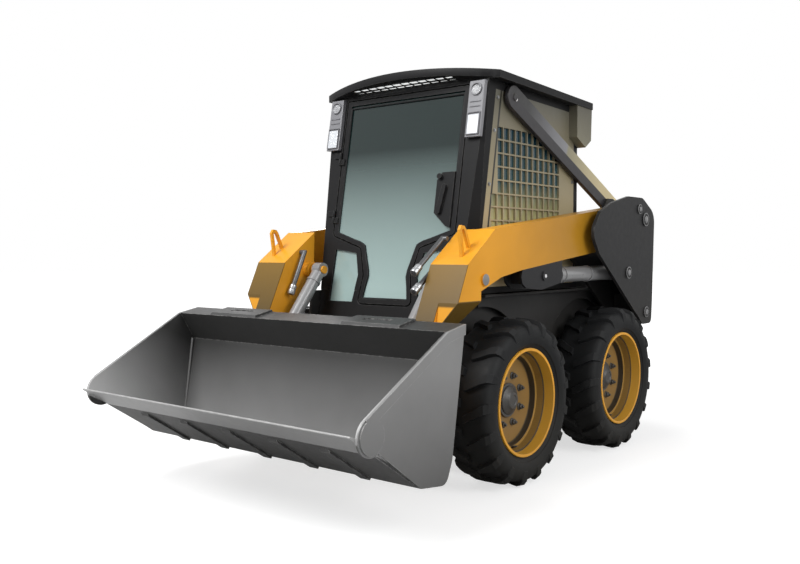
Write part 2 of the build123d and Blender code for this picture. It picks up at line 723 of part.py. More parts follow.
def lift_arm(side, tag):
    """One arm: beam, rear boss, front leg, cylinder lugs and the guard hoop over its knee."""

    def at(x0, x1):
        """The sketch plane at the span's lower x, on either side, and the span's width."""
        return Plane.YZ.offset(min(side * x0, side * x1)), x1 - x0

    with BuildPart() as gusset:
        with BuildSketch(Plane.XZ.offset(500)):
            Polygon(*[(side * x, z) for x, z in GUSSET_FRONT], align=None)
        extrude(amount=500)
        plane, width = at(*ARM_X)
        with BuildSketch(plane):
            Polygon(*GUSSET_SIDE, align=None)
        extrude(amount=width, mode=Mode.INTERSECT)
    with BuildPart() as arm:
        plane, width = at(*ARM_X)
        with BuildSketch(plane):
            Polygon(*BEAM_OUTLINE, align=None)
        extrude(amount=width)
        plane, width = at(*ARM_BOSS_X)
        with BuildSketch(plane):
            with Locations(ARM_PIVOT):
                Circle(105)
        extrude(amount=width)
        plane, width = at(*LEG_X)
        with BuildSketch(plane) as leg:
            Polygon(*LEG_OUTLINE, align=None)
            fillet(corners(leg, (-1000, 315), (-985, 255), (-900, 262)), radius=28)
        extrude(amount=width)
        add(gusset.part)
        plane, width = at(TILT_PIN_X[1], LEG_X[0])
        with BuildSketch(plane):
            with Locations(TILT_BASE):
                Circle(40)
        extrude(amount=width)
        plane, width = at(TILT_PIN_X[0], TILT_PIN_X[1])
        with BuildSketch(plane):
            with Locations(TILT_BASE):
                Circle(20)
        extrude(amount=width)
        plane, width = at(ARM_X[1], ARM_X[1] + 8)
        with BuildSketch(plane):
            with Locations((-575, 955)):
                Circle(27)
        extrude(amount=width)
        plane, width = at(HOOP_X - HOOP_W / 2, HOOP_X + HOOP_W / 2)
        with BuildSketch(plane):
            with BuildLine():
                Polyline(*HOOP_PATH)
            trace(line_width=HOOP_W)
        extrude(amount=width)
        plane, width = at(*ARM_BOSS_X)
        with BuildSketch(plane):
            with Locations(ARM_PIVOT):
                Circle(36 + RUN)
        extrude(amount=width, mode=Mode.SUBTRACT)
        plane, width = at(*LEG_X)
        with BuildSketch(plane):
            with Locations(TILT_PIVOT):
                Circle(30 + RUN)
        extrude(amount=width, mode=Mode.SUBTRACT)
    finish(arm, f"lift_arm_{tag}")


for tag, side in SIDE.items():
    lift_arm(side, tag)

# A clevis under each beam holds the lift cylinder's rod eye: two cheeks and a web in front of the eye.
CLEVIS = [(-250, 992.6), (-262, 960), (-252, 930), (-215, 905), (-69, 894), (118, 922), (132, 945), (132, 1034.9)]
CLEVIS_WEB = [(-215, 996.5), (-215, 925), (-200, 925), (-200, 998.1)]
with BuildPart() as lift_clevises:
    for x0 in (ARM_X[0], ARM_X[1] - PLATE):
        with BuildSketch(Plane.YZ.offset(x0)) as cheek:
            Polygon(*CLEVIS, align=None)
            fillet(corners(cheek, (-262, 960), (-252, 930), (-215, 905), (118, 922)), radius=14)
        extrude(amount=PLATE)
    with BuildSketch(Plane.YZ.offset(ARM_X[0])):
        Polygon(*CLEVIS_WEB, align=None)
    extrude(amount=ARM_X[1] - ARM_X[0])
    with BuildSketch(Plane.YZ.offset(ARM_X[1])):
        with Locations(LIFT_EYE):
            Circle(24)
    extrude(amount=6)
    mirror(about=Plane.YZ)
finish(lift_clevises, "lift_clevises")

with BuildPart() as arm_cross_tube:
    with BuildSketch(Plane.YZ):
        with Locations(CROSS_TUBE):
            Circle(CROSS_TUBE_R)
    extrude(amount=LEG_X[0], both=True)
finish(arm_cross_tube, "arm_cross_tube")

LINES = [
    # x, start y, start z, end y, end z
    (437, -790, 982, -575, 1138),
    (437, -790, 900, -640, 1000),
    (-437, -690, 860, -590, 1075),
]
with BuildPart() as hydraulic_lines:
    for x, y0, z0, y1, z1 in LINES:
        out = 1 if x > 0 else -1
        with BuildLine() as run:
            Polyline((x, y0, z0), (x, y1, z1), (out * LEG_X[0], y1, z1))
        with BuildSketch(Plane(origin=run.line @ 0, z_dir=run.line % 0)):
            Circle(12)
        sweep(transition=Transition.RIGHT)
finish(hydraulic_lines, "hydraulic_lines")


# ---- Hydraulic cylinders ----
def polar(origin, angle, distance):
    """The point at a distance from origin along an angle in the side view."""
    return (
        origin[0] + distance * math.cos(math.radians(angle)),
        origin[1] + distance * math.sin(math.radians(angle)),
    )


def turned(point, centre, angle):
    """The point turned about a centre in the side view, from y towards z."""
    a = math.degrees(math.atan2(point[1] - centre[1], point[0] - centre[0])) + angle
    return polar(centre, a, math.dist(point, centre))


def bearing(start, end):
    return math.degrees(math.atan2(end[1] - start[1], end[0] - start[0]))


# name, x, base pin, rod eye, tube r, tube end, ring stations, rod r, eye r, eye width, pin r
CYLINDERS = [
    ("lift", LIFT_X, LIFT_BASE, LIFT_EYE, 40.0, 615.0, (278.0, 557.0, 603.0), 26.0, 36.0, 50.0, 24.0),
    ("tilt", TILT_X, TILT_BASE, TILT_EYE, 33.0, 520.0, (70.0, 490.0), 20.0, 30.0, 50.0, 20.0),
]


def cylinder(name, x, base, eye, tube_r, tube_end, rings, rod_r, eye_r, eye_w, pin_r, side, tag):
    length = math.dist(base, eye)
    out = Vector(0, eye[0] - base[0], eye[1] - base[1]).normalized()
    centre = Vector(side * x, *base)
    with BuildPart() as barrel:
        with BuildSketch(Plane.YZ.offset(side * x - eye_w / 2)):
            with Locations(base):
                Circle(eye_r + 6)
        extrude(amount=eye_w)
        with BuildSketch(Plane(origin=centre + out * 24, x_dir=(1, 0, 0), z_dir=out)):
            Circle(tube_r)
        extrude(amount=tube_end - 24)
        for station in rings:
            with BuildSketch(Plane(origin=centre + out * station, x_dir=(1, 0, 0), z_dir=out)):
                Circle(tube_r + 4)
            extrude(amount=12)
        with BuildSketch(Plane.YZ.offset(side * x - tube_r - 4)):
            with Locations(base):
                Circle(pin_r + RUN)
        extrude(amount=2 * tube_r + 8, mode=Mode.SUBTRACT)
        with BuildSketch(Plane(origin=centre + out * 60, x_dir=(1, 0, 0), z_dir=out)):
            Circle(rod_r + 0.4)
        extrude(amount=tube_end - 60, mode=Mode.SUBTRACT)
    finish(barrel, f"{name}_barrel_{tag}")
    with BuildPart() as rod:
        with BuildSketch(Plane.YZ.offset(side * x - eye_w / 2)):
            with Locations(eye):
                Circle(eye_r)
        extrude(amount=eye_w)
        with BuildSketch(Plane(origin=centre + out * 100, x_dir=(1, 0, 0), z_dir=out)):
            Circle(rod_r)
        extrude(amount=length - 100)
        with BuildSketch(Plane.YZ.offset(side * x - eye_w / 2)):
            with Locations(eye):
                Circle(pin_r)
        extrude(amount=eye_w, mode=Mode.SUBTRACT)
    finish(rod, f"{name}_rod_{tag}")


for row in CYLINDERS:
    for tag, side in SIDE.items():
        cylinder(*row, side, tag)

# ---- Coupler and bucket ----
# The bucket's back leans by this direction; the coupler's plate lies against it.
BACK_LOW = (-1050.0, 270.0)
BACK_TOP = (-965.0, 794.0)
back_len = math.dist(BACK_LOW, BACK_TOP)
back_dir = ((BACK_TOP[0] - BACK_LOW[0]) / back_len, (BACK_TOP[1] - BACK_LOW[1]) / back_len)


def behind(along, out):
    """A point along the bucket's back from its foot, and out behind it."""
    return (
        BACK_LOW[0] + along * back_dir[0] + out * back_dir[1],
        BACK_LOW[1] + along * back_dir[1] - out * back_dir[0],
    )


COUPLER_X = 585.0
COUPLER_PLATE = 14.0
with BuildPart() as coupler:
    with BuildSketch(Plane.YZ):
        Polygon(
            behind(-20, 0.3),
            behind(500, 0.3),
            behind(500, COUPLER_PLATE),
            behind(-20, COUPLER_PLATE),
            align=None,
        )
    extrude(amount=COUPLER_X, both=True)
    with BuildSketch(Plane.XZ.offset(800)):
        with Locations((0, 520)):
            with GridLocations(270, 1, 2, 1):
                Rectangle(220, 330)
    extrude(amount=400, mode=Mode.SUBTRACT)
    with BuildSketch(Plane.YZ.offset(LEG_X[0] - 22)) as pivot_lug:
        Polygon(behind(-15, 5), behind(150, 5), (-925, 345), (-905, 300), (-940, 255), align=None)
        fillet(corners(pivot_lug, (-925, 345), (-905, 300), (-940, 255)), radius=20)
    extrude(amount=14)
    with BuildSketch(Plane.YZ.offset(LEG_X[1] + 8)):
        Polygon(behind(-15, 5), behind(150, 5), (-925, 345), (-905, 300), (-940, 255), align=None)
    extrude(amount=12)
    with BuildSketch(Plane.YZ.offset(LEG_X[0] - 22)):
        with Locations(TILT_PIVOT):
            Circle(30)
    extrude(amount=LEG_X[1] - LEG_X[0] + 42)
    for x0 in (TILT_X - 46, TILT_X + 34):
        with BuildSketch(Plane.YZ.offset(x0)) as tilt_lug:
            Polygon(behind(130, 5), behind(360, 5), (-885, 545), (-868, 505), (-900, 470), align=None)
            fillet(corners(tilt_lug, (-885, 545), (-868, 505), (-900, 470)), radius=16)
        extrude(amount=12)
    mirror(about=Plane.YZ)
finish(coupler, "coupler")

with BuildPart() as coupler_levers:
    for s in SIDE.values():
        with BuildSketch(Plane.YZ.offset(s * 300 - 9)):
            Polygon(behind(120, 15), behind(480, 15), behind(480, 45), behind(120, 30), align=None)
        extrude(amount=18)
finish(coupler_levers, "coupler_levers")

# Bucket section: back, heel, floor, and the folded lip along the top.
HEEL_REAR = (-1088.0, 180.0)
HEEL_FRONT = (-1245.0, 200.0)
FLOOR_END = (-1500.0, 367.0)
LIP_FRONT = (-1082.0, 771.0)
SECTION = [
    BACK_TOP,
    BACK_LOW,
    HEEL_REAR,
    HEEL_FRONT,
    FLOOR_END,
    (-1493.4, 377.0),
    (-1241, 212.6),
    (-1098.5, 193.5),
    (-1062, 272),
    (-1002, 640),
    LIP_FRONT,
]
NOSE = (-1526.0, 439.0)  # centre of the side plate's rounded nose
NOSE_R = 72.0
SIDE_PLATE = [
    BACK_TOP,
    LIP_FRONT,
    (-1560, 503),
    NOSE,
    (-1484, 372),
    HEEL_FRONT,
    HEEL_REAR,
    BACK_LOW,
]
LIP_TAB = [(-966, 794), (-972, 804), (-1070, 784.7), (-1081, 771.2)]
TAB_X = (270.0, 590.0)
TAB_SLOT = (350.0, 500.0, -1040.0, -1005.0)  # x span, y span
EDGE_BAND = [(-1560, 503), (-1545, 466), (-1072, 730), (-968, 752), (-965, 794), (-1082, 771)]
BAND_T = 5.0
WEAR_RIB_X = (-560.0, -280.0, 0.0, 280.0, 560.0)
WEAR_RIB = [(-1480, 352.9), (-1474, 338), (-1250, 192), (-1245, 200)]
with BuildPart() as bucket:
    with BuildSketch(Plane.YZ):
        Polygon(*SECTION, align=None)
    extrude(amount=BUCKET_X - BUCKET_PLATE, both=True)
    for rib_x in WEAR_RIB_X:
        with BuildSketch(Plane.YZ.offset(rib_x - 25)):
            Polygon(*WEAR_RIB, align=None)
        extrude(amount=50)
    for s in SIDE.values():
        with BuildSketch(Plane.YZ.offset(s * sum(TAB_X) / 2)):
            Polygon(*LIP_TAB, align=None)
        extrude(amount=(TAB_X[1] - TAB_X[0]) / 2, both=True)
    with BuildSketch(Plane.XY.offset(792)):
        for s in SIDE.values():
            with Locations((s * (TAB_SLOT[0] + TAB_SLOT[1]) / 2, (TAB_SLOT[2] + TAB_SLOT[3]) / 2)):
                Rectangle(TAB_SLOT[1] - TAB_SLOT[0], TAB_SLOT[3] - TAB_SLOT[2])
    extrude(amount=30, mode=Mode.SUBTRACT)
    for band_x in (BUCKET_X, -BUCKET_X - BAND_T):
        with BuildSketch(Plane.YZ.offset(band_x)):
            Polygon(*EDGE_BAND, align=None)
        extrude(amount=BAND_T)
    with BuildSketch(Plane.YZ.offset(BUCKET_X - BUCKET_PLATE)) as side_plate:
        Polygon(*SIDE_PLATE, align=None)
        fillet(corners(side_plate, HEEL_REAR), radius=45)
        with Locations(NOSE):
            Circle(NOSE_R)
    extrude(amount=BUCKET_PLATE)
    with BuildSketch(Plane.YZ.offset(BUCKET_X)):
        with Locations(NOSE):
            Circle(64)
    extrude(amount=BAND_T)
    with BuildSketch(Plane.YZ.offset(-BUCKET_X)) as side_plate:
        Polygon(*SIDE_PLATE, align=None)
        fillet(corners(side_plate, HEEL_REAR), radius=45)
        with Locations(NOSE):
            Circle(NOSE_R)
    extrude(amount=BUCKET_PLATE)
    with BuildSketch(Plane.YZ.offset(-BUCKET_X - BAND_T)):
        with Locations(NOSE):
            Circle(64)
    extrude(amount=BAND_T)
finish(bucket, "bucket")

with BuildPart() as cutting_edge:
    with BuildSketch(Plane.YZ):
        Polygon(FLOOR_END, (-1629, 451.5), (-1625, 458), (-1590, 444), (-1489, 384), align=None)
    extrude(amount=BUCKET_X - BUCKET_PLATE - 0.3, both=True)
finish(cutting_edge, "cutting_edge")

# ---- Wheels ----
LUGS = 17  # on each side of the tread
LUG_LEAN = 36.0
LUG_W = 36.0
LUG_MID = 62.0  # a lug's middle, out from the tyre's middle plane
LUG_FOOT_R = 362.3
# One lug seen along the tread: out from LUG_FOOT_R, across from its middle.
LUG_SIDE = [(-22, -74), (20, -74), (20, 40), (-2, 76), (-40, 76), (-40, 60), (-22, 40)]
# Sections from the tyre's middle plane outwards: across, radius.
CARCASS = [(124, RIM_R), (124, 342), (104, 364), (-104, 364), (-124, 342), (-124, RIM_R)]
RIM = [
    (110, RIM_R),
    (113, RIM_R),
    (113, 236),
    (62, 236),
    (62, 226),
    (24, 226),
    (24, 212),
    (-4, 212),
    (-4, 80),
    (8, 80),
    (8, 0),
    (-22, 0),
    (-22, 218),
    (-40, 236),
    (-113, 236),
    (-113, RIM_R),
]


def wheel(axle_y, side, tag):
    centre = Vector(side * WHEEL_X, axle_y, TYRE_R)
    section = Plane(origin=centre, x_dir=(side, 0, 0), z_dir=(0, 0, side))
    hub = Plane(origin=centre, x_dir=(0, 1, 0), z_dir=(side, 0, 0))
    spin = Axis(centre, (side, 0, 0))
    with BuildPart() as lug:
        with BuildSketch(Plane.XZ):
            Polygon(*LUG_SIDE, align=None)
        extrude(amount=LUG_W / 2, both=True)
    with BuildPart(hub) as tyre:
        for half in (1, -1):
            block = lug.part if half > 0 else mirror(lug.part, about=Plane.XY, mode=Mode.PRIVATE)
            with Locations((0, 0, half * LUG_MID)):
                with PolarLocations(LUG_FOOT_R, LUGS, start_angle=half * 90 / LUGS):
                    add(block, rotation=(half * LUG_LEAN, 0, 0))
        with BuildSketch(section):
            Polygon(*CARCASS, align=None)
        revolve(axis=spin)
    finish(tyre, f"tyre_{tag}")
    with BuildPart(hub) as rim:
        with BuildSketch(section):
            Polygon(*RIM, align=None)
        revolve(axis=spin)
    finish(rim, f"rim_{tag}")


for axle, axle_y in AXLE_Y.items():
    for tag, side in SIDE.items():
        wheel(axle_y, side, f"{axle}_{tag}")

# ---- What the joints need: ranges and ratios of the linkages ----
lift_end = turned(LIFT_EYE, ARM_PIVOT, -LIFT_RANGE)
tilt_end = turned(TILT_EYE, TILT_PIVOT, TILT_RANGE)
for name, base, start, end in (
    ("lift", LIFT_BASE, LIFT_EYE, lift_end),
    ("tilt", TILT_BASE, TILT_EYE, tilt_end),
):
    swing = (bearing(base, end) - bearing(base, start) + 180) % 360 - 180
    print(name, "cylinder turns", round(swing, 2), "deg, extends", round(math.dist(base, end) - math.dist(base, start), 1))
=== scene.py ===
import json
import math

import bmesh
import bpy
from bpy.props import FloatProperty, FloatVectorProperty, IntProperty, PointerProperty
from mathutils import Matrix, Vector


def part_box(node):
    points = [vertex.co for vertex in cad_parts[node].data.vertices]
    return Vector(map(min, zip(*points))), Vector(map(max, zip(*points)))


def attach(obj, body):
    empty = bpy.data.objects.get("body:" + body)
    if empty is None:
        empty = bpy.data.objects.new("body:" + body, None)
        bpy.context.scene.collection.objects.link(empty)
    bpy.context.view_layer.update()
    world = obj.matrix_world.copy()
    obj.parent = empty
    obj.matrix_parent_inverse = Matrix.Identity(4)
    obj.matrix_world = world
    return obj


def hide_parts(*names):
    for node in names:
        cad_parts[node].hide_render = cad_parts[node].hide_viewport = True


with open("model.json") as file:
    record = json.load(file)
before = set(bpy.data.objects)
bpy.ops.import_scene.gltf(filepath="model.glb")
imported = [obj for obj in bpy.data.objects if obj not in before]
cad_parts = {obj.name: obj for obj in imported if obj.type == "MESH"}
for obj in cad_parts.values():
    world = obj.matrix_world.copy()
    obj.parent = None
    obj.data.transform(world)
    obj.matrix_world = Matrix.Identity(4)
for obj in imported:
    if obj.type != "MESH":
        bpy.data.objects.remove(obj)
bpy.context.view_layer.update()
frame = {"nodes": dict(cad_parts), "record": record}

bl_info = {
    "name": "Skid Steer Loader Dressing",
    "version": (1, 0, 0),
    "blender": (4, 5, 0),
    "location": "3D View > Sidebar > Loader",
    "description": "Paints, glass, tyres, cushions and hardware of a compact skid steer loader",
    "category": "Object",
}

NODES = frame["nodes"]
SIDES = {"left": 1.0, "right": -1.0}
WHEELS = [(end, side) for end in ("front", "rear") for side in SIDES]
# The cab's front face leans back: y = FRONT_Y0 + LEAN * z. Seams and panes behind it lean with it.
LEAN = 0.173
FRONT_Y0 = -0.618
SEAM_Y = FRONT_Y0 + 0.108
SEAM_WIDE = 0.016
PANE_Y = FRONT_Y0 + 0.122
PANEL_X = 0.5
WORN_YELLOW = "6f5a3a"
WORN_TAN = "5d5645"


def tone(code):
    """A linear RGBA colour from a screen colour code such as e8a427."""
    channels = [int(code[i : i + 2], 16) / 255 for i in (0, 2, 4)]
    return tuple(c / 12.92 if c < 0.04045 else ((c + 0.055) / 1.055) ** 2.4 for c in channels) + (1.0,)


def middle_of(name):
    """The middle of a CAD node's box."""
    low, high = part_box(name)
    return (low + high) / 2


# ---- Settings that a user would change ----
def colour_setting(label, text, code):
    return FloatVectorProperty(
        name=label, description=text, subtype="COLOR", size=4, min=0.0, max=1.0, default=tone(code)
    )


def length_setting(label, text, value):
    return FloatProperty(name=label, description=text, default=value, unit="LENGTH", min=0.0)


class LoaderPaintSettings(bpy.types.PropertyGroup):
    yellow: colour_setting("Yellow paint", "Arms, rims and hood", "eda428")
    frame_grey: colour_setting("Frame grey", "Lower frame, towers and rear", "252526")
    cab_dark: colour_setting("Cab black", "Cab frame, roof and door", "1f1f20")
    cab_tan: colour_setting("Cab tan", "Side panels, screens and braces", "c0b18b")
    bucket_grey: colour_setting("Bucket grey", "Bucket, edge and coupler", "858585")
    cylinder_grey: colour_setting("Cylinder grey", "Hydraulic cylinder tubes", "8a8a8b")
    rubber: colour_setting("Rubber", "Tyres and seals", "151617")
    # The glass colours carry painted shade at the top and a painted reflection at the foot over the teal
    # tint.
    glass_high: colour_setting("Glass tint, high", "Tint at the top of the windows", "0d201f")
    glass_low: colour_setting("Glass tint, low", "Tint at the foot of the windows", "abc2bf")
    vinyl: colour_setting("Cushion vinyl", "Cushions in the cab", "2c2d30")
    dust: colour_setting("Dust", "Dry dust on lower parts", "8f8570")


class LoaderSizeSettings(bpy.types.PropertyGroup):
    edge_round: length_setting("Edge rounding", "Radius along the edges of plates", 0.003)
    stud_head: length_setting("Wheel nut", "Width of a wheel nut across its flats", 0.027)
    panel_screw: length_setting("Panel screw", "Width of a cab panel screw's head", 0.014)
    tread_bars: IntProperty(
        name="Tread bars", description="Bars on each side of a tyre's tread", default=17, min=8, max=32
    )


# ---- Node helpers ----
def link(tree, a, b):
    tree.links.new(a, b)


def node(tree, kind, **values):
    made = tree.nodes.new(kind)
    for key, value in values.items():
        setattr(made, key, value)
    return made


def feed(tree, socket, value):
    """Gives a socket another node's output or a plain value."""
    if hasattr(value, "is_linked"):
        link(tree, value, socket)
    else:
        socket.default_value = value


def own_place(tree):
    """A point's place in the piece's own coordinates."""
    return node(tree, "ShaderNodeTexCoord").outputs["Object"]


def ramp(tree, source, low, high, to_low=0.0, to_high=1.0):
    """A value that goes from to_low to to_high while the source goes from low to high."""
    made = node(tree, "ShaderNodeMapRange")
    link(tree, source, made.inputs["Value"])
    for label, value in (("From Min", low), ("From Max", high), ("To Min", to_low), ("To Max", to_high)):
        feed(tree, made.inputs[label], value)
    return made.outputs["Result"]


def calc(tree, operation, a, b=0.0):
    made = node(tree, "ShaderNodeMath", operation=operation)
    for socket, value in zip(made.inputs, (a, b)):
        feed(tree, socket, value)
    return made.outputs["Value"]


def blend_colour(tree, factor, a, b):
    """Colour a where the factor is 0 and colour b where it is 1."""
    made = node(tree, "ShaderNodeMix", data_type="RGBA")
    for place, value in ((0, factor), (6, a), (7, b)):
        feed(tree, made.inputs[place], value)
    return made.outputs[2]


def speckle(tree, coords, scale, detail=3.0, roughness=0.55):
    """Soft noise over the given coordinates."""
    made = node(tree, "ShaderNodeTexNoise")
    link(tree, coords, made.inputs["Vector"])
    feed(tree, made.inputs["Scale"], scale)
    made.inputs["Detail"].default_value = detail
    made.inputs["Roughness"].default_value = roughness
    return made.outputs["Fac"]


def group_sockets(tree, inputs, outputs):
    """Named sockets on a node group, with the nodes that stand for them inside."""
    for label, kind, value in inputs:
        socket = tree.interface.new_socket(label, in_out="INPUT", socket_type=kind)
        if value is not None:
            socket.default_value = value
    for label, kind in outputs:
        tree.interface.new_socket(label, in_out="OUTPUT", socket_type=kind)
    return node(tree, "NodeGroupInput"), node(tree, "NodeGroupOutput")


COLOUR, FLOAT = "NodeSocketColor", "NodeSocketFloat"


def weathering_group():
    """Patchy paint with worn edges and dust low down, placed in most of the materials."""
    name = "Weathering"
    if name in bpy.data.node_groups:
        return bpy.data.node_groups[name]
    tree = bpy.data.node_groups.new(name, "ShaderNodeTree")
    given, out = group_sockets(
        tree,
        [
            ("Paint", COLOUR, (0.5, 0.5, 0.5, 1)),
            ("Worn", COLOUR, (0.3, 0.3, 0.3, 1)),
            ("Dust", COLOUR, (0.3, 0.27, 0.2, 1)),
            ("Edge Wear", FLOAT, 0.4),
            ("Edge Radius", FLOAT, 0.006),
            ("Dust Amount", FLOAT, 0.3),
            ("Dust Top", FLOAT, 0.9),
            ("Grain Scale", FLOAT, 220.0),
            ("Roughness", FLOAT, 0.4),
        ],
        [("Colour", COLOUR), ("Roughness", FLOAT), ("Height", FLOAT)],
    )
    coords = own_place(tree)
    broad = speckle(tree, coords, 2.2)
    fine = speckle(tree, coords, 34.0, 4.0, 0.65)
    grain = speckle(tree, coords, given.outputs["Grain Scale"], 2.0)
    dark = node(tree, "ShaderNodeHueSaturation")
    dark.inputs["Value"].default_value = 0.88
    link(tree, given.outputs["Paint"], dark.inputs["Color"])
    painted = blend_colour(tree, ramp(tree, broad, 0.38, 0.64), given.outputs["Paint"], dark.outputs["Color"])
    rounded = node(tree, "ShaderNodeBevel", samples=4)
    link(tree, given.outputs["Edge Radius"], rounded.inputs["Radius"])
    facing = node(tree, "ShaderNodeNewGeometry").outputs["Normal"]
    product = node(tree, "ShaderNodeVectorMath", operation="DOT_PRODUCT")
    link(tree, rounded.outputs["Normal"], product.inputs[0])
    link(tree, facing, product.inputs[1])
    edge = ramp(tree, calc(tree, "SUBTRACT", 1.0, product.outputs["Value"]), 0.015, 0.12)
    edge = calc(tree, "MULTIPLY", edge, ramp(tree, fine, 0.42, 0.58))
    edge = calc(tree, "MULTIPLY", edge, given.outputs["Edge Wear"])
    scuffed = blend_colour(tree, edge, painted, given.outputs["Worn"])
    split = node(tree, "ShaderNodeSeparateXYZ")
    link(tree, coords, split.inputs["Vector"])
    low = ramp(tree, split.outputs["Z"], 0.0, given.outputs["Dust Top"], 1.0, 0.0)
    settled = calc(tree, "MULTIPLY", low, ramp(tree, fine, 0.3, 0.75, 0.45, 1.0))
    settled = calc(tree, "MULTIPLY", settled, given.outputs["Dust Amount"])
    dusty = blend_colour(tree, settled, scuffed, given.outputs["Dust"])
    link(tree, dusty, out.inputs["Colour"])
    rough = calc(tree, "ADD", given.outputs["Roughness"], calc(tree, "MULTIPLY", settled, 0.4))
    rough = calc(tree, "ADD", rough, calc(tree, "MULTIPLY", calc(tree, "SUBTRACT", fine, 0.5), 0.18))
    link(tree, rough, out.inputs["Roughness"])
    link(tree, grain, out.inputs["Height"])
    return tree


def new_material(name):
    """A material with its node tree and its surface node."""
    material = bpy.data.materials.new(name)
    material.use_nodes = True
    return material, material.node_tree, material.node_tree.nodes["Principled BSDF"]


def bump(tree, height, surface, distance, strength=0.35):
    """Fine relief on a surface, as deep as the distance."""
    made = node(tree, "ShaderNodeBump")
    made.inputs["Strength"].default_value = strength
    made.inputs["Distance"].default_value = distance
    link(tree, height, made.inputs["Height"])
    link(tree, made.outputs["Normal"], surface.inputs["Normal"])


def weathered(name, colour, worn, rough, metal=0.0, coat=0.0, wear=0.5, dust=0.25, dust_top=1.0,
              grain=220.0, depth=0.0004, edge=0.006, shine=0.5, shade=None):
    """A painted or bare surface with worn edges, patchy colour, dust low down and a fine grain.

    A shade function may lay out the paint's colour over the piece, painted shade and painted reflections
    included."""
    material, tree, surface = new_material(name)
    group = node(tree, "ShaderNodeGroup", node_tree=weathering_group())
    settings = bpy.context.scene.loader_paint
    for label, value in (
        ("Paint", colour), ("Worn", worn), ("Dust", settings.dust[:]), ("Edge Wear", wear),
        ("Edge Radius", edge), ("Dust Amount", dust), ("Dust Top", dust_top), ("Grain Scale", grain),
        ("Roughness", rough),
    ):
        group.inputs[label].default_value = value
    if shade:
        link(tree, shade(tree), group.inputs["Paint"])
    link(tree, group.outputs["Colour"], surface.inputs["Base Color"])
    link(tree, group.outputs["Roughness"], surface.inputs["Roughness"])
    surface.inputs["Metallic"].default_value = metal
    surface.inputs["Specular IOR Level"].default_value = shine
    surface.inputs["Coat Weight"].default_value = coat
    surface.inputs["Coat Roughness"].default_value = 0.12
    bump(tree, group.outputs["Height"], surface, depth)
    return material


def own_axes(tree):
    """X, Y and Z of the piece's own coordinates."""
    split = node(tree, "ShaderNodeSeparateXYZ")
    link(tree, own_place(tree), split.inputs["Vector"])
    return [split.outputs[axis] for axis in "XYZ"]


def slanted(tree, y, z, origin, across):
    """Distance from a line through origin (y, z) in the side view, along the direction across."""
    u = calc(tree, "MULTIPLY", calc(tree, "SUBTRACT", y, origin[0]), across[0])
    v = calc(tree, "MULTIPLY", calc(tree, "SUBTRACT", z, origin[1]), across[1])
    return calc(tree, "ADD", u, v)


def colour_stops(tree, factor, stops):
    """A colour from (place, screen colour) pairs along a factor from 0 to 1."""
    made = node(tree, "ShaderNodeValToRGB")
    link(tree, factor, made.inputs["Fac"])
    band = made.color_ramp
    for place, _ in stops[1:-1]:
        band.elements.new(place)
    for element, (place, code) in zip(band.elements, stops):
        element.position = place
        element.color = tone(code)
    return made.outputs["Color"]


def arm_painted_shade(tree):
    """Painted shade: yellow that darkens to the rear, and brown on the leg's front and under the gusset."""
    x, y, z = own_axes(tree)
    yellow = bpy.context.scene.loader_paint.yellow[:]
    # Painted shade: the yellow darkens towards the arm's rear.
    deep = blend_colour(tree, ramp(tree, y, -0.60, 0.85), yellow, tone("86681f"))
    # Painted shade on the slanted face under the gusset and on the leg's front below the brow.
    face = slanted(tree, calc(tree, "ABSOLUTE", x), z, (0.665, 0.859), (0.791, -0.612))
    slope = calc(tree, "MULTIPLY", ramp(tree, face, -0.004, -0.002), ramp(tree, z, 0.700, 0.715))
    front = slanted(tree, y, z, (-0.702, 1.023), (-0.907, 0.420))
    leg = calc(tree, "MULTIPLY", ramp(tree, front, -0.005, -0.003), ramp(tree, z, 1.0225, 1.0215))
    # The painted shade's brown, darker lower down.
    brown = blend_colour(tree, ramp(tree, z, 0.74, 1.02), tone("564318"), tone("7d5f20"))
    return blend_colour(tree, calc(tree, "MAXIMUM", slope, leg), deep, brown)


def rim_painted_shade(end):
    """Bright lip; painted shade in the brown barrel, its two dark steps and the darker disc; by distance from
    the axle.
    """
    # The hub keeps its own grey; disc, steps, barrel and lip foot carry painted shade on the yellow.
    hub, disc, disc_rim, step = "454545", "86683a", "a07d45", "2c2418"
    barrel, lip_foot, lip, lip_edge = "b0873a", "c4952f", "f0a92a", "f3af2d"
    stops = [(0.0, hub), (0.318, hub), (0.325, disc), (0.80, disc_rim), (0.84, step), (0.852, step),
             (0.862, barrel), (0.90, barrel), (0.908, step), (0.935, step), (0.942, lip_foot), (0.950, lip),
             (1.0, lip_edge)]
    axle = middle_of(f"rim_{end}_left")
    lip_radius = 0.25

    def shade(tree):
        _, y, z = own_axes(tree)
        flat = node(tree, "ShaderNodeCombineXYZ")
        link(tree, y, flat.inputs["Y"])
        link(tree, z, flat.inputs["Z"])
        reach = node(tree, "ShaderNodeVectorMath", operation="DISTANCE")
        link(tree, flat.outputs["Vector"], reach.inputs[0])
        reach.inputs[1].default_value = (0.0, axle.y, axle.z)
        return colour_stops(tree, ramp(tree, reach.outputs["Value"], 0.0, lip_radius), stops)

    return shade


def bucket_painted_shade(tree):
    """Painted shade: dark up the back, paler along the floor, dark below; the plates' outer faces fade darker
    downwards.
    """
    x, y, z = own_axes(tree)
    rise = calc(tree, "ADD", z, calc(tree, "MULTIPLY", y, 0.526))
    # Painted shade inside: the floor pales towards the lip, the back darkens upwards, the underside is dark.
    floor = blend_colour(tree, ramp(tree, y, -1.52, -1.12), tone("cacaca"), tone("9a9a9a"))
    inside = blend_colour(tree, ramp(tree, rise, -0.39, 0.09), floor, tone("3a3a3a"))
    inside = blend_colour(tree, ramp(tree, rise, -0.414, -0.420), inside, tone("484848"))
    # Painted shade on the side plates' outer faces, darker towards the bottom.
    outer = blend_colour(tree, ramp(tree, z, 0.12, 0.62), tone("5a5a5a"), tone("8c8c8c"))
    return blend_colour(tree, ramp(tree, calc(tree, "ABSOLUTE", x), 0.823, 0.832), inside, outer)


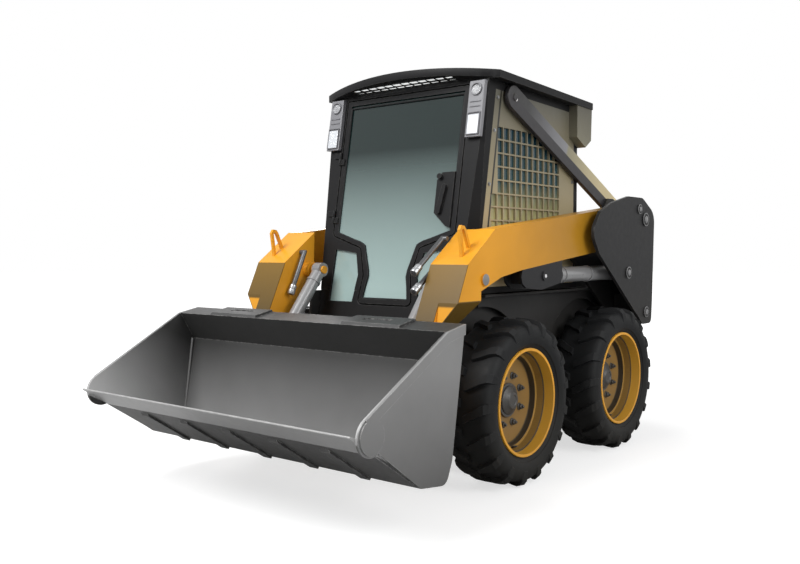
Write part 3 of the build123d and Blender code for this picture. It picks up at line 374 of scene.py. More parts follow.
def panel_painted_reflection(tree):
    """Tan side panels that darken to olive at the roof, a painted reflection, with the dark seam behind the
    front strip.
    """
    _, y, z = own_axes(tree)
    tan = bpy.context.scene.loader_paint.cab_tan[:]
    # Painted reflection: warm tan low on the panel, darkening to olive grey at the roof.
    colour = blend_colour(tree, ramp(tree, z, 1.10, 1.84), tan, tone("5d5b50"))
    behind = calc(tree, "SUBTRACT", y, calc(tree, "MULTIPLY", z, LEAN))
    blur = 0.002
    seam = calc(tree, "MULTIPLY", ramp(tree, behind, SEAM_Y, SEAM_Y + blur),
                ramp(tree, behind, SEAM_Y + SEAM_WIDE, SEAM_Y + SEAM_WIDE - blur))
    return blend_colour(tree, seam, colour, tone("26251f"))


def roof_box_painted_shade(tree):
    """Olive grey with painted shade that darkens it under the roof."""
    z = own_axes(tree)[2]
    return blend_colour(tree, ramp(tree, z, 1.66, 1.86), tone("7f7b68"), tone("59564a"))


def brace_painted_light(tree):
    """Painted shadow along the lower half; the upper half is a painted reflection from dark through grey to
    tan.
    """
    _, y, z = own_axes(tree)
    top_pin, length, dip = (-0.112, 1.830), 1.284, math.radians(23.89)
    down = slanted(tree, y, z, top_pin, (math.cos(dip), -math.sin(dip)))
    across = slanted(tree, y, z, top_pin, (math.sin(dip), math.cos(dip)))
    # Painted reflection down the upper half, pale tan at the lower end.
    upper = colour_stops(tree, ramp(tree, down, 0.0, length), [
        (0.0, "2c2b2c"), (0.10, "303030"), (0.44, "88888c"), (0.455, "8f8a72"), (1.0, "fbe8b4")])
    # Painted shadow over the lower half.
    return blend_colour(tree, ramp(tree, across, 0.003, -0.001), upper, tone("2b292c"))


def glass_material():
    """Tinted cab glass with painted shade and reflection: darker and denser towards the roof, pale at the
    foot, faintly streaked.
    """
    settings = bpy.context.scene.loader_paint
    material, tree, surface = new_material("cab_glass_tint_and_painted_light")
    z = own_axes(tree)[2]
    tint = blend_colour(tree, ramp(tree, z, 0.90, 1.60), settings.glass_low[:], settings.glass_high[:])
    coords = own_place(tree)
    streak = ramp(tree, speckle(tree, coords, 9.0), 0.35, 0.7, 0.03, 0.09)
    link(tree, tint, surface.inputs["Base Color"])
    link(tree, streak, surface.inputs["Roughness"])
    # Painted glow: the glass gives off a little light in its own colours.
    link(tree, tint, surface.inputs["Emission Color"])
    surface.inputs["Emission Strength"].default_value = 0.12
    link(tree, ramp(tree, z, 0.98, 1.60, 0.70, 0.90), surface.inputs["Alpha"])
    surface.inputs["Coat Weight"].default_value = 0.3
    surface.inputs["Coat Roughness"].default_value = 0.02
    return material


def side_glass_material():
    """Side panes behind the screens, a painted reflection: deep teal at the top, olive at the foot."""
    material, tree, surface = new_material("side_glass_tint_and_painted_reflection")
    z = own_axes(tree)[2]
    tint = colour_stops(tree, ramp(tree, z, 1.10, 1.68), [
        (0.0, "efe6a0"), (0.30, "a8a678"), (0.55, "2f4c50"), (1.0, "0f3340")])
    link(tree, tint, surface.inputs["Base Color"])
    coords = own_place(tree)
    link(tree, ramp(tree, speckle(tree, coords, 9.0), 0.35, 0.7, 0.08, 0.2), surface.inputs["Roughness"])
    surface.inputs["Alpha"].default_value = 0.92
    return material


def vinyl_material():
    """Black vinyl with a fine leather grain."""
    settings = bpy.context.scene.loader_paint
    material, tree, surface = new_material("seat_vinyl_grain")
    coords = own_place(tree)
    cells = node(tree, "ShaderNodeTexVoronoi", feature="DISTANCE_TO_EDGE")
    link(tree, coords, cells.inputs["Vector"])
    cells.inputs["Scale"].default_value = 420.0
    shade = blend_colour(tree, ramp(tree, speckle(tree, coords, 8.0), 0.35, 0.7), settings.vinyl[:],
                         tone("3d3e41"))
    link(tree, shade, surface.inputs["Base Color"])
    link(tree, ramp(tree, speckle(tree, coords, 30.0), 0.3, 0.7, 0.42, 0.6), surface.inputs["Roughness"])
    bump(tree, ramp(tree, cells.outputs["Distance"], 0.0, 0.12), surface, 0.0004, 0.5)
    return material


def lens_material():
    """Fluted lenses: the box lamp glows white, the round one over it is a dull grey."""
    material, tree, surface = new_material("lamp_lens_fluted")
    coords = own_place(tree)
    flutes = node(tree, "ShaderNodeTexWave", bands_direction="X")
    link(tree, coords, flutes.inputs["Vector"])
    flutes.inputs["Scale"].default_value = 55.0
    upper = ramp(tree, own_axes(tree)[2], 1.755, 1.765)
    bright = blend_colour(tree, flutes.outputs["Fac"], tone("babec2"), tone("cdd0d5"))
    link(tree, blend_colour(tree, upper, bright, tone("8c8d90")), surface.inputs["Base Color"])
    link(tree, blend_colour(tree, upper, bright, tone("000000")), surface.inputs["Emission Color"])
    surface.inputs["Roughness"].default_value = 0.08
    surface.inputs["Coat Weight"].default_value = 0.6
    surface.inputs["Emission Strength"].default_value = 0.12
    bump(tree, flutes.outputs["Fac"], surface, 0.001, 0.4)
    return material


def opal_material():
    """White opal panes in the roof's cells that glow as painted daylight."""
    material, tree, surface = new_material("roof_light_opal")
    coords = own_place(tree)
    milk_and_painted_daylight = blend_colour(tree, speckle(tree, coords, 14.0), tone("e4ebeb"), tone("ffffff"))
    link(tree, milk_and_painted_daylight, surface.inputs["Base Color"])
    link(tree, milk_and_painted_daylight, surface.inputs["Emission Color"])
    # Painted daylight: the panes glow though no lamp lights them.
    surface.inputs["Emission Strength"].default_value = 0.75
    surface.inputs["Roughness"].default_value = 0.35
    return material


def rubber_material():
    """Tyre rubber: fine grain, a dry bloom and dust low on the tread."""
    settings = bpy.context.scene.loader_paint
    return weathered("tyre_rubber", settings.rubber[:], tone("2c2d30"), 0.62, wear=0.5, dust=0.05,
                     dust_top=0.5, grain=150.0, depth=0.0008, edge=0.008, shine=0.25)


MATERIALS = {}


def build_materials():
    """One material for each slot, and one for each look of its own."""
    paint = bpy.context.scene.loader_paint
    MATERIALS.update(
        yellow_paint=weathered("yellow_paint_coat", paint.yellow[:], tone(WORN_YELLOW), 0.38, coat=0.15,
                               wear=0.45, dust=0.10, dust_top=1.2),
        arm_paint=weathered("arm_paint_coat", paint.yellow[:], tone(WORN_YELLOW), 0.38, coat=0.04,
                            wear=0.4, dust=0.05, shine=0.3, shade=arm_painted_shade),
        rim_front=weathered("rim_paint_front", paint.yellow[:], tone(WORN_YELLOW), 0.42, coat=0.1,
                            wear=0.3, dust=0.05, shade=rim_painted_shade("front")),
        rim_rear=weathered("rim_paint_rear", paint.yellow[:], tone(WORN_YELLOW), 0.42, coat=0.1,
                           wear=0.3, dust=0.05, shade=rim_painted_shade("rear")),
        hub=weathered("hub_casting", tone("474747"), tone("6b6b6b"), 0.45, metal=0.2, wear=0.5, dust=0.1),
        clevis=weathered("clevis_paint", tone("1e1e20"), tone("4a4a4a"), 0.42, wear=0.4, dust=0.0, shine=0.3),
        brace=weathered("brace_paint", paint.cab_tan[:], tone(WORN_TAN), 0.45, wear=0.3, dust=0.0,
                        shade=brace_painted_light),
        panel=weathered("cab_panel_paint", paint.cab_tan[:], tone(WORN_TAN), 0.45, wear=0.4, dust=0.0,
                        shade=panel_painted_reflection),
        roof_box=weathered("roof_box_paint", paint.cab_tan[:], tone(WORN_TAN), 0.5, wear=0.3, dust=0.0,
                           shade=roof_box_painted_shade),
        edge=weathered("cutting_edge_worn", tone("a9a9a9"), tone("d2d2d0"), 0.36, metal=0.4, wear=0.9,
                       dust=0.05, grain=90.0, depth=0.0006),
        pin_face=weathered("pin_face", tone("8b8b8c"), tone("c4c4c4"), 0.34, metal=0.3, wear=0.6, dust=0.0),
        pin_white=weathered("pin_end_white", tone("e9e9ea"), tone("b0b0b0"), 0.4, wear=0.2, dust=0.0),
        opal=opal_material(),
        side_glass=side_glass_material(),
        line=weathered("line_paint", tone("58595b"), tone("9a9a9a"), 0.34, metal=0.4, wear=0.4, dust=0.0),
        frame_grey=weathered("frame_paint", paint.frame_grey[:], tone("77746c"), 0.5, wear=0.4, dust=0.12,
                             shine=0.25),
        cab_dark=weathered("cab_paint_dark", paint.cab_dark[:], tone("6b6a66"), 0.46, wear=0.35, dust=0.04,
                           shine=0.12),
        cab_tan=weathered("cab_paint_tan", paint.cab_tan[:], tone(WORN_TAN), 0.45, coat=0.1,
                          wear=0.4, dust=0.05),
        bucket_steel=weathered("bucket_paint", paint.bucket_grey[:], tone("b9b9b6"), 0.44, metal=0.2,
                               wear=0.7, dust=0.05, grain=90.0, depth=0.0006, edge=0.006),
        # Bucket paint with painted shade laid out by its shade function.
        bucket_scoured=weathered("bucket_paint_painted_shade", paint.bucket_grey[:], tone("a8a8a6"), 0.46,
                                 metal=0.2, wear=0.8, dust=0.03, grain=90.0, depth=0.0006, edge=0.006,
                                 shade=bucket_painted_shade),
        cylinder_grey=weathered("cylinder_paint", paint.cylinder_grey[:], tone("4c4c4c"), 0.3, coat=0.4,
                                wear=0.3, dust=0.05),
        rod_chrome=weathered("rod_chrome_plate", tone("d6d8dc"), tone("a8a8a8"), 0.1, metal=1.0,
                             wear=0.1, dust=0.0, grain=300.0, depth=0.0001),
        steel=weathered("plated_steel", tone("a9abad"), tone("6f6c66"), 0.32, metal=0.9, wear=0.3,
                        dust=0.1),
        plastic=weathered("moulded_plastic", tone("313235"), tone("4a4b4e"), 0.55, wear=0.2, dust=0.1,
                          grain=420.0, depth=0.0005),
        lamp_body=weathered("lamp_housing", tone("7c7c80"), tone("6a6a6a"), 0.4, coat=0.1, wear=0.1,
                            dust=0.0),
        glass=glass_material(),
        seat_vinyl=vinyl_material(),
        lens=lens_material(),
        tyre=rubber_material(),
    )


# ---- Mesh helpers ----
def piece_from(name, bm, body, slot, material=None, smooth=40.0, flip=True):
    """A finished piece from a bmesh: outward faces, smooth by angle, material and body; the slot picks the
    material when none is given.
    """
    return dress(name, mesh_of(bm, name, flip), body, slot, material, smooth)


def dress(name, mesh, body, slot, material=None, smooth=40.0):
    """A finished piece from a mesh: smooth by angle, material and body; the slot picks the material when none
    is given.
    """
    mesh.name = name
    if smooth is not None:
        mesh.shade_smooth()
        mesh.set_sharp_from_angle(angle=math.radians(smooth))
    mesh.materials.clear()
    mesh.materials.append(material or MATERIALS[slot])
    for face in mesh.polygons:
        face.material_index = 0
    made = bpy.data.objects.new(name, mesh)
    bpy.context.scene.collection.objects.link(made)
    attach(made, body)
    return made


def add_box(bm, low, high, turn=None):
    """A box between two corners, optionally turned by a matrix about the origin."""
    low, high = Vector(low), Vector(high)
    made = bmesh.ops.create_cube(bm, size=1.0)["verts"]
    matrix = Matrix.Translation((low + high) / 2) @ Matrix.Diagonal((*(high - low), 1.0))
    bmesh.ops.transform(bm, verts=made, matrix=(turn or Matrix.Identity(4)) @ matrix)


def add_lathe(bm, centre, axis, profile, segments=32):
    """A closed turned shape: profile of (distance along the axis, radius) round the axis."""
    axis = Vector(axis).normalized()
    centre = Vector(centre)
    across = axis.orthogonal().normalized()
    up = axis.cross(across)
    rings = []
    for along, radius in profile:
        if radius < 1e-7:
            rings.append([bm.verts.new(centre + axis * along)])
            continue
        ring = []
        for i in range(segments):
            a = 2 * math.pi * i / segments
            outward = (across * math.cos(a) + up * math.sin(a)) * radius
            ring.append(bm.verts.new(centre + axis * along + outward))
        rings.append(ring)
    for a, b in zip(rings, rings[1:]):
        for i in range(segments):
            j = (i + 1) % segments
            corner = [a[i % len(a)], a[j % len(a)], b[j % len(b)], b[i % len(b)]]
            corner = [v for k, v in enumerate(corner) if v not in corner[:k]]
            if len(corner) > 2:
                bm.faces.new(corner)


def add_tube(bm, points, radius, sides=12, caps=True):
    """A tube along points, without twist."""
    points = [Vector(p) for p in points]
    rings = []
    normal = None
    for i, point in enumerate(points):
        ahead = points[min(i + 1, len(points) - 1)] - points[max(i - 1, 0)]
        ahead.normalize()
        if normal is None:
            normal = ahead.orthogonal().normalized()
        normal = (normal - ahead * normal.dot(ahead)).normalized()
        side = ahead.cross(normal)
        ring = []
        for k in range(sides):
            a = 2 * math.pi * k / sides
            ring.append(bm.verts.new(point + (normal * math.cos(a) + side * math.sin(a)) * radius))
        rings.append(ring)
    for a, b in zip(rings, rings[1:]):
        for k in range(sides):
            bm.faces.new((a[k], a[(k + 1) % sides], b[(k + 1) % sides], b[k]))
    if caps:
        bm.faces.new(rings[0])
        bm.faces.new(rings[-1])


def add_prism(bm, outline, axis, low, high):
    """A flat outline pushed along X, Y or Z between two values of it."""
    place = {
        "X": lambda u, v, w: (w, u, v),
        "Y": lambda u, v, w: (u, w, v),
        "Z": lambda u, v, w: (u, v, w),
    }[axis]
    a = [bm.verts.new(place(u, v, low)) for u, v in outline]
    b = [bm.verts.new(place(u, v, high)) for u, v in outline]
    bm.faces.new(a)
    bm.faces.new(b)
    for i in range(len(a)):
        j = (i + 1) % len(a)
        bm.faces.new((a[i], a[j], b[j], b[i]))


def curve_points(points, steps=10):
    """Points along a smooth curve through the given ones."""
    points = [Vector(p) for p in points]
    ends = [2 * points[0] - points[1]] + points + [2 * points[-1] - points[-2]]
    made = []
    for a, b, c, d in zip(ends, ends[1:], ends[2:], ends[3:]):
        for k in range(steps):
            t = k / steps
            made.append(
                0.5 * ((2 * b) + (c - a) * t + (2 * a - 5 * b + 4 * c - d) * t * t
                       + (3 * b - a - 3 * c + d) * t ** 3)
            )
    return made + [points[-1]]


# ---- Geometry Nodes trees ----
def geometry_tree(name, inputs):
    """An empty tree with a geometry going in and out and the named inputs."""
    tree = bpy.data.node_groups.new(name, "GeometryNodeTree")
    tree.interface.new_socket("Geometry", in_out="INPUT", socket_type="NodeSocketGeometry")
    tree.interface.new_socket("Geometry", in_out="OUTPUT", socket_type="NodeSocketGeometry")
    for label, kind, value in inputs:
        socket = tree.interface.new_socket(label, in_out="INPUT", socket_type=kind)
        if value is not None:
            socket.default_value = value
    return tree, node(tree, "NodeGroupInput"), node(tree, "NodeGroupOutput")


def close_tree(tree, given, out, instances):
    """Ends a tree with real geometry in the given material."""
    real = node(tree, "GeometryNodeRealizeInstances")
    link(tree, instances, real.inputs["Geometry"])
    coat = node(tree, "GeometryNodeSetMaterial")
    link(tree, real.outputs["Geometry"], coat.inputs["Geometry"])
    link(tree, given.outputs["Material"], coat.inputs["Material"])
    link(tree, coat.outputs["Geometry"], out.inputs["Geometry"])
    return tree


def ring_tree():
    """Copies of the given shape round an axle that runs along X."""
    name = "Ring Of Copies"
    if name in bpy.data.node_groups:
        return bpy.data.node_groups[name]
    tree, given, out = geometry_tree(
        name,
        [
            ("Count", "NodeSocketInt", 8),
            ("Centre", "NodeSocketVector", (0, 0, 0)),
            ("Start Angle", FLOAT, 0.0),
            ("Material", "NodeSocketMaterial", None),
        ],
    )
    line = node(tree, "GeometryNodeMeshLine")
    link(tree, given.outputs["Count"], line.inputs["Count"])
    line.inputs["Offset"].default_value = (0, 0, 0)
    spot = node(tree, "GeometryNodeSetPosition")
    link(tree, line.outputs["Mesh"], spot.inputs["Geometry"])
    link(tree, given.outputs["Centre"], spot.inputs["Position"])
    back = node(tree, "ShaderNodeVectorMath", operation="SCALE")
    back.inputs["Scale"].default_value = -1.0
    link(tree, given.outputs["Centre"], back.inputs[0])
    shift = node(tree, "GeometryNodeTransform")
    link(tree, given.outputs["Geometry"], shift.inputs["Geometry"])
    link(tree, back.outputs["Vector"], shift.inputs["Translation"])
    index = node(tree, "GeometryNodeInputIndex").outputs["Index"]
    share = calc(tree, "DIVIDE", index, given.outputs["Count"])
    angle = calc(tree, "ADD", calc(tree, "MULTIPLY", share, 2 * math.pi), given.outputs["Start Angle"])
    turn = node(tree, "ShaderNodeCombineXYZ")
    link(tree, angle, turn.inputs["X"])
    copies = node(tree, "GeometryNodeInstanceOnPoints")
    link(tree, spot.outputs["Geometry"], copies.inputs["Points"])
    link(tree, shift.outputs["Geometry"], copies.inputs["Instance"])
    link(tree, turn.outputs["Vector"], copies.inputs["Rotation"])
    return close_tree(tree, given, out, copies.outputs["Instances"])


def row_tree():
    """Copies of the given shape in rows and columns."""
    name = "Rows Of Copies"
    if name in bpy.data.node_groups:
        return bpy.data.node_groups[name]
    tree, given, out = geometry_tree(
        name,
        [
            ("Columns", "NodeSocketInt", 4),
            ("Rows", "NodeSocketInt", 1),
            ("Column Step", "NodeSocketVector", (0.1, 0, 0)),
            ("Row Step", "NodeSocketVector", (0, 0, 0.1)),
            ("Material", "NodeSocketMaterial", None),
        ],
    )
    line = node(tree, "GeometryNodeMeshLine")
    link(tree, calc(tree, "MULTIPLY", given.outputs["Columns"], given.outputs["Rows"]), line.inputs["Count"])
    line.inputs["Offset"].default_value = (0, 0, 0)
    index = node(tree, "GeometryNodeInputIndex").outputs["Index"]
    column = calc(tree, "MODULO", index, given.outputs["Columns"])
    row = calc(tree, "FLOOR", calc(tree, "DIVIDE", index, given.outputs["Columns"]))
    steps = []
    for count, label in ((column, "Column Step"), (row, "Row Step")):
        step = node(tree, "ShaderNodeVectorMath", operation="SCALE")
        link(tree, given.outputs[label], step.inputs[0])
        link(tree, count, step.inputs["Scale"])
        steps.append(step.outputs["Vector"])
    total = node(tree, "ShaderNodeVectorMath", operation="ADD")
    link(tree, steps[0], total.inputs[0])
    link(tree, steps[1], total.inputs[1])
    spot = node(tree, "GeometryNodeSetPosition")
    link(tree, line.outputs["Mesh"], spot.inputs["Geometry"])
    link(tree, total.outputs["Vector"], spot.inputs["Position"])
    copies = node(tree, "GeometryNodeInstanceOnPoints")
    link(tree, spot.outputs["Geometry"], copies.inputs["Points"])
    link(tree, given.outputs["Geometry"], copies.inputs["Instance"])
    return close_tree(tree, given, out, copies.outputs["Instances"])


def bolt_tree():
    """A hexagon head on a washer at each point, standing along the point's facing attribute."""
    name = "Bolt Heads"
    if name in bpy.data.node_groups:
        return bpy.data.node_groups[name]
    tree, given, out = geometry_tree(
        name,
        [
            ("Head Width", FLOAT, 0.024),
            ("Head Height", FLOAT, 0.012),
            ("Material", "NodeSocketMaterial", None),
        ],
    )
    width, height = given.outputs["Head Width"], given.outputs["Head Height"]
    # Sides, then radius, depth and middle as shares of the head's width and height.
    washer, hexagon, crown = (20, 0.68, 0.22, 0.11), (6, 0.56, 0.78, 0.61), (12, 0.4, 0.12, 1.04)
    parts = []
    for sides, spread, depth_share, rise in (washer, hexagon, crown):
        drum = node(tree, "GeometryNodeMeshCylinder")
        drum.inputs["Vertices"].default_value = sides
        link(tree, calc(tree, "MULTIPLY", width, spread), drum.inputs["Radius"])
        link(tree, calc(tree, "MULTIPLY", height, depth_share), drum.inputs["Depth"])
        raise_by = node(tree, "ShaderNodeCombineXYZ")
        link(tree, calc(tree, "MULTIPLY", height, rise), raise_by.inputs["Z"])
        placed = node(tree, "GeometryNodeTransform")
        link(tree, drum.outputs["Mesh"], placed.inputs["Geometry"])
        link(tree, raise_by.outputs["Vector"], placed.inputs["Translation"])
        parts.append(placed.outputs["Geometry"])
    joined = node(tree, "GeometryNodeJoinGeometry")
    for part in parts:
        link(tree, part, joined.inputs["Geometry"])
    facing = node(tree, "GeometryNodeInputNamedAttribute", data_type="FLOAT_VECTOR")
    facing.inputs["Name"].default_value = "facing"
    aim = node(tree, "FunctionNodeAlignRotationToVector", axis="Z")
    link(tree, facing.outputs["Attribute"], aim.inputs["Vector"])
    copies = node(tree, "GeometryNodeInstanceOnPoints")
    link(tree, given.outputs["Geometry"], copies.inputs["Points"])
    link(tree, joined.outputs["Geometry"], copies.inputs["Instance"])
    link(tree, aim.outputs["Rotation"], copies.inputs["Rotation"])
    return close_tree(tree, given, out, copies.outputs["Instances"])


def grown(mesh, tree, settings):
    """The plain mesh that a Geometry Nodes tree makes from a mesh."""
    holder = bpy.data.objects.new("holder", mesh)
    bpy.context.scene.collection.objects.link(holder)
    modifier = holder.modifiers.new("grow", "NODES")
    modifier.node_group = tree
    for item in tree.interface.items_tree:
        if item.item_type == "SOCKET" and item.in_out == "INPUT" and item.name in settings:
            modifier[item.identifier] = settings[item.name]
    graph = bpy.context.evaluated_depsgraph_get()
    result = bpy.data.meshes.new_from_object(holder.evaluated_get(graph), depsgraph=graph)
    holder.modifiers.remove(modifier)
    bpy.data.objects.remove(holder)
    return result


def mesh_of(bm, name="seed", flip=True):
    """A mesh from a bmesh, merged and with its faces outward unless it already is."""
    if flip:
        bmesh.ops.remove_doubles(bm, verts=bm.verts, dist=1e-6)
        bmesh.ops.recalc_face_normals(bm, faces=bm.faces)
    mesh = bpy.data.meshes.new(name)
    bm.to_mesh(mesh)
    bm.free()
    return mesh


def bolts(name, spots, body, width, height):
    """Plated bolt heads at (point, facing) pairs."""
    mesh = bpy.data.meshes.new("spots")
    mesh.from_pydata([tuple(point) for point, _ in spots], [], [])
    facing = mesh.attributes.new("facing", "FLOAT_VECTOR", "POINT")
    facing.data.foreach_set("vector", [c for _, way in spots for c in way])
    sizes = {"Head Width": width, "Head Height": height, "Material": MATERIALS["steel"]}
    made = grown(mesh, bolt_tree(), sizes)
    dress(name, made, body, "steel", smooth=30.0)


def round_edges(piece, width, segments=2, angle=30.0):
    """Rounds the edges of a piece that are sharper than the angle."""
    edge = piece.modifiers.new("edge", "BEVEL")
    edge.width = width
    edge.segments = segments
    edge.limit_method = "ANGLE"
    edge.angle_limit = math.radians(angle)


def soften(name):
    """Rounds the edges of a CAD node with modifiers; its own mesh stays."""
    part = NODES[name]
    weld = part.modifiers.new("weld", "WELD")
    weld.merge_threshold = 0.00001
    flat = part.modifiers.new("flat", "DECIMATE")
    flat.decimate_type = "DISSOLVE"
    flat.angle_limit = math.radians(0.6)
    round_edges(part, bpy.context.scene.loader_size.edge_round, angle=35.0)


def paint_node(name, slot):
    """Gives a CAD node its slot's material, or a look of its own."""
    part = NODES[name]
    part.data.materials.clear()
    part.data.materials.append(MATERIALS[OWN_LOOK.get(name, slot)])


RECORD_SLOT = {row["node"]: row["material_slot"] for row in frame["record"]["subparts"]}
# Slots of the turned and the glazed nodes, which have no plate edges to round.
ROUND_SLOTS = {"tyre", "rod_chrome", "cylinder_grey", "glass"}
# Sheets and rings with openings keep square edges; rounding them breaks their flat faces.
PIERCED = {"cab_sides", "rear_door", "rear_body", "roof_box"}
# Nodes whose material isn't the one of their slot.
OWN_LOOK = {
    "lift_arm_left": "arm_paint",
    "lift_arm_right": "arm_paint",
    "lift_clevises": "clevis",
    "hydraulic_lines": "line",
    "braces": "brace",
    "cab_sides": "panel",
    "roof_box": "roof_box",
    "bucket": "bucket_scoured",
    "cutting_edge": "edge",
    **{f"rim_{end}_{side}": f"rim_{end}" for end, side in WHEELS},
}


# ---- Operators ----
class LOADER_OT_stage(bpy.types.Operator):
    """Camera, floor, backdrop and soft lamps"""

    bl_idname = "loader.stage"
    bl_label = "Stage"

    LENS = 38.805
    EYE = (2.7613, -3.7525, 1.0782)
    # Degrees below level, and degrees turned from straight ahead.
    DIP = 2.013
    TURN = 39.004
    # Soft lamps: name, place, aim, size and power.
    LAMPS = (
        ("key", (-1.2, -5.2, 5.4), (0, -0.4, 0.6), 3.2, 430),
        ("side", (5.6, -0.6, 3.4), (0, 0.2, 0.8), 3.0, 150),
        ("back", (-4.5, 5.0, 4.0), (0, 0.4, 0.8), 3.5, 220),
    )

    def execute(self, context):
        scene = context.scene
        scene.view_settings.view_transform = "Standard"
        camera_data = bpy.data.cameras.new("view")
        camera_data.lens = self.LENS
        camera_data.sensor_width = 36.0
        camera = bpy.data.objects.new("view", camera_data)
        camera.location = self.EYE
        camera.rotation_euler = (math.radians(90 - self.DIP), 0, math.radians(self.TURN))
        scene.collection.objects.link(camera)
        scene.camera = camera
        for name, place, aim, size, power in self.LAMPS:
            lamp_data = bpy.data.lights.new(name, "AREA")
            lamp_data.size = size
            lamp_data.energy = power
            lamp = bpy.data.objects.new(name, lamp_data)
            lamp.location = place
            lamp.rotation_euler = (Vector(aim) - Vector(place)).to_track_quat("-Z", "Y").to_euler()
            scene.collection.objects.link(lamp)
        self.backdrop(scene)
        self.floor(scene)
        return {"FINISHED"}

    def backdrop(self, scene):
        """White where it is seen or mirrored, and a plain soft light on the loader."""
        world = bpy.data.worlds.new("white room")
        scene.world = world
        world.use_nodes = True
        tree = world.node_tree
        tree.nodes.clear()
        path = node(tree, "ShaderNodeLightPath")
        seen = calc(tree, "MAXIMUM", path.outputs["Is Camera Ray"], path.outputs["Is Transmission Ray"])
        seen = calc(tree, "MAXIMUM", seen, calc(tree, "MULTIPLY", path.outputs["Is Glossy Ray"], 0.8))
        soft = node(tree, "ShaderNodeBackground")
        soft.inputs["Color"].default_value = (1, 1, 1, 1)
        soft.inputs["Strength"].default_value = 0.42
        white = node(tree, "ShaderNodeBackground")
        white.inputs["Color"].default_value = (1, 1, 1, 1)
        mix = node(tree, "ShaderNodeMixShader")
        link(tree, seen, mix.inputs["Fac"])
        link(tree, soft.outputs["Background"], mix.inputs[1])
        link(tree, white.outputs["Background"], mix.inputs[2])
        out = node(tree, "ShaderNodeOutputWorld")
        link(tree, mix.outputs["Shader"], out.inputs["Surface"])

    def floor(self, scene):
        """A pale floor that keeps the shadow and fades to white further out."""
        bm = bmesh.new()
        bmesh.ops.create_grid(bm, x_segments=1, y_segments=1, size=40.0)
        mesh = bpy.data.meshes.new("floor")
        bm.to_mesh(mesh)
        bm.free()
        floor = bpy.data.objects.new("floor", mesh)
        scene.collection.objects.link(floor)
        material = bpy.data.materials.new("floor_white")
        material.use_nodes = True
        tree = material.node_tree
        tree.nodes.clear()
        away = node(tree, "ShaderNodeVectorMath", operation="LENGTH")
        link(tree, own_place(tree), away.inputs[0])
        matt = node(tree, "ShaderNodeBsdfDiffuse")
        matt.inputs["Color"].default_value = (0.50, 0.50, 0.50, 1)
        glow = node(tree, "ShaderNodeEmission")
        glow.inputs["Color"].default_value = (1, 1, 1, 1)
        path = node(tree, "ShaderNodeLightPath")
        strength = ramp(tree, away.outputs["Value"], 2.2, 4.5, 0.66, 1.0)
        link(tree, calc(tree, "MULTIPLY", path.outputs["Is Camera Ray"], strength), glow.inputs["Strength"])
        both = node(tree, "ShaderNodeAddShader")
        link(tree, matt.outputs["BSDF"], both.inputs[0])
        link(tree, glow.outputs["Emission"], both.inputs[1])
        out = node(tree, "ShaderNodeOutputMaterial")
        link(tree, both.outputs["Shader"], out.inputs["Surface"])
        mesh.materials.append(material)


class LOADER_OT_finishes(bpy.types.Operator):
    """Paints, glass, rubber and chrome on the solid parts, with rounded plate edges"""

    bl_idname = "loader.finishes"
    bl_label = "Finishes"

    def execute(self, context):
        build_materials()
        for name, slot in RECORD_SLOT.items():
            paint_node(name, slot)
            if slot not in ROUND_SLOTS and name not in PIERCED:
                soften(name)
        return {"FINISHED"}


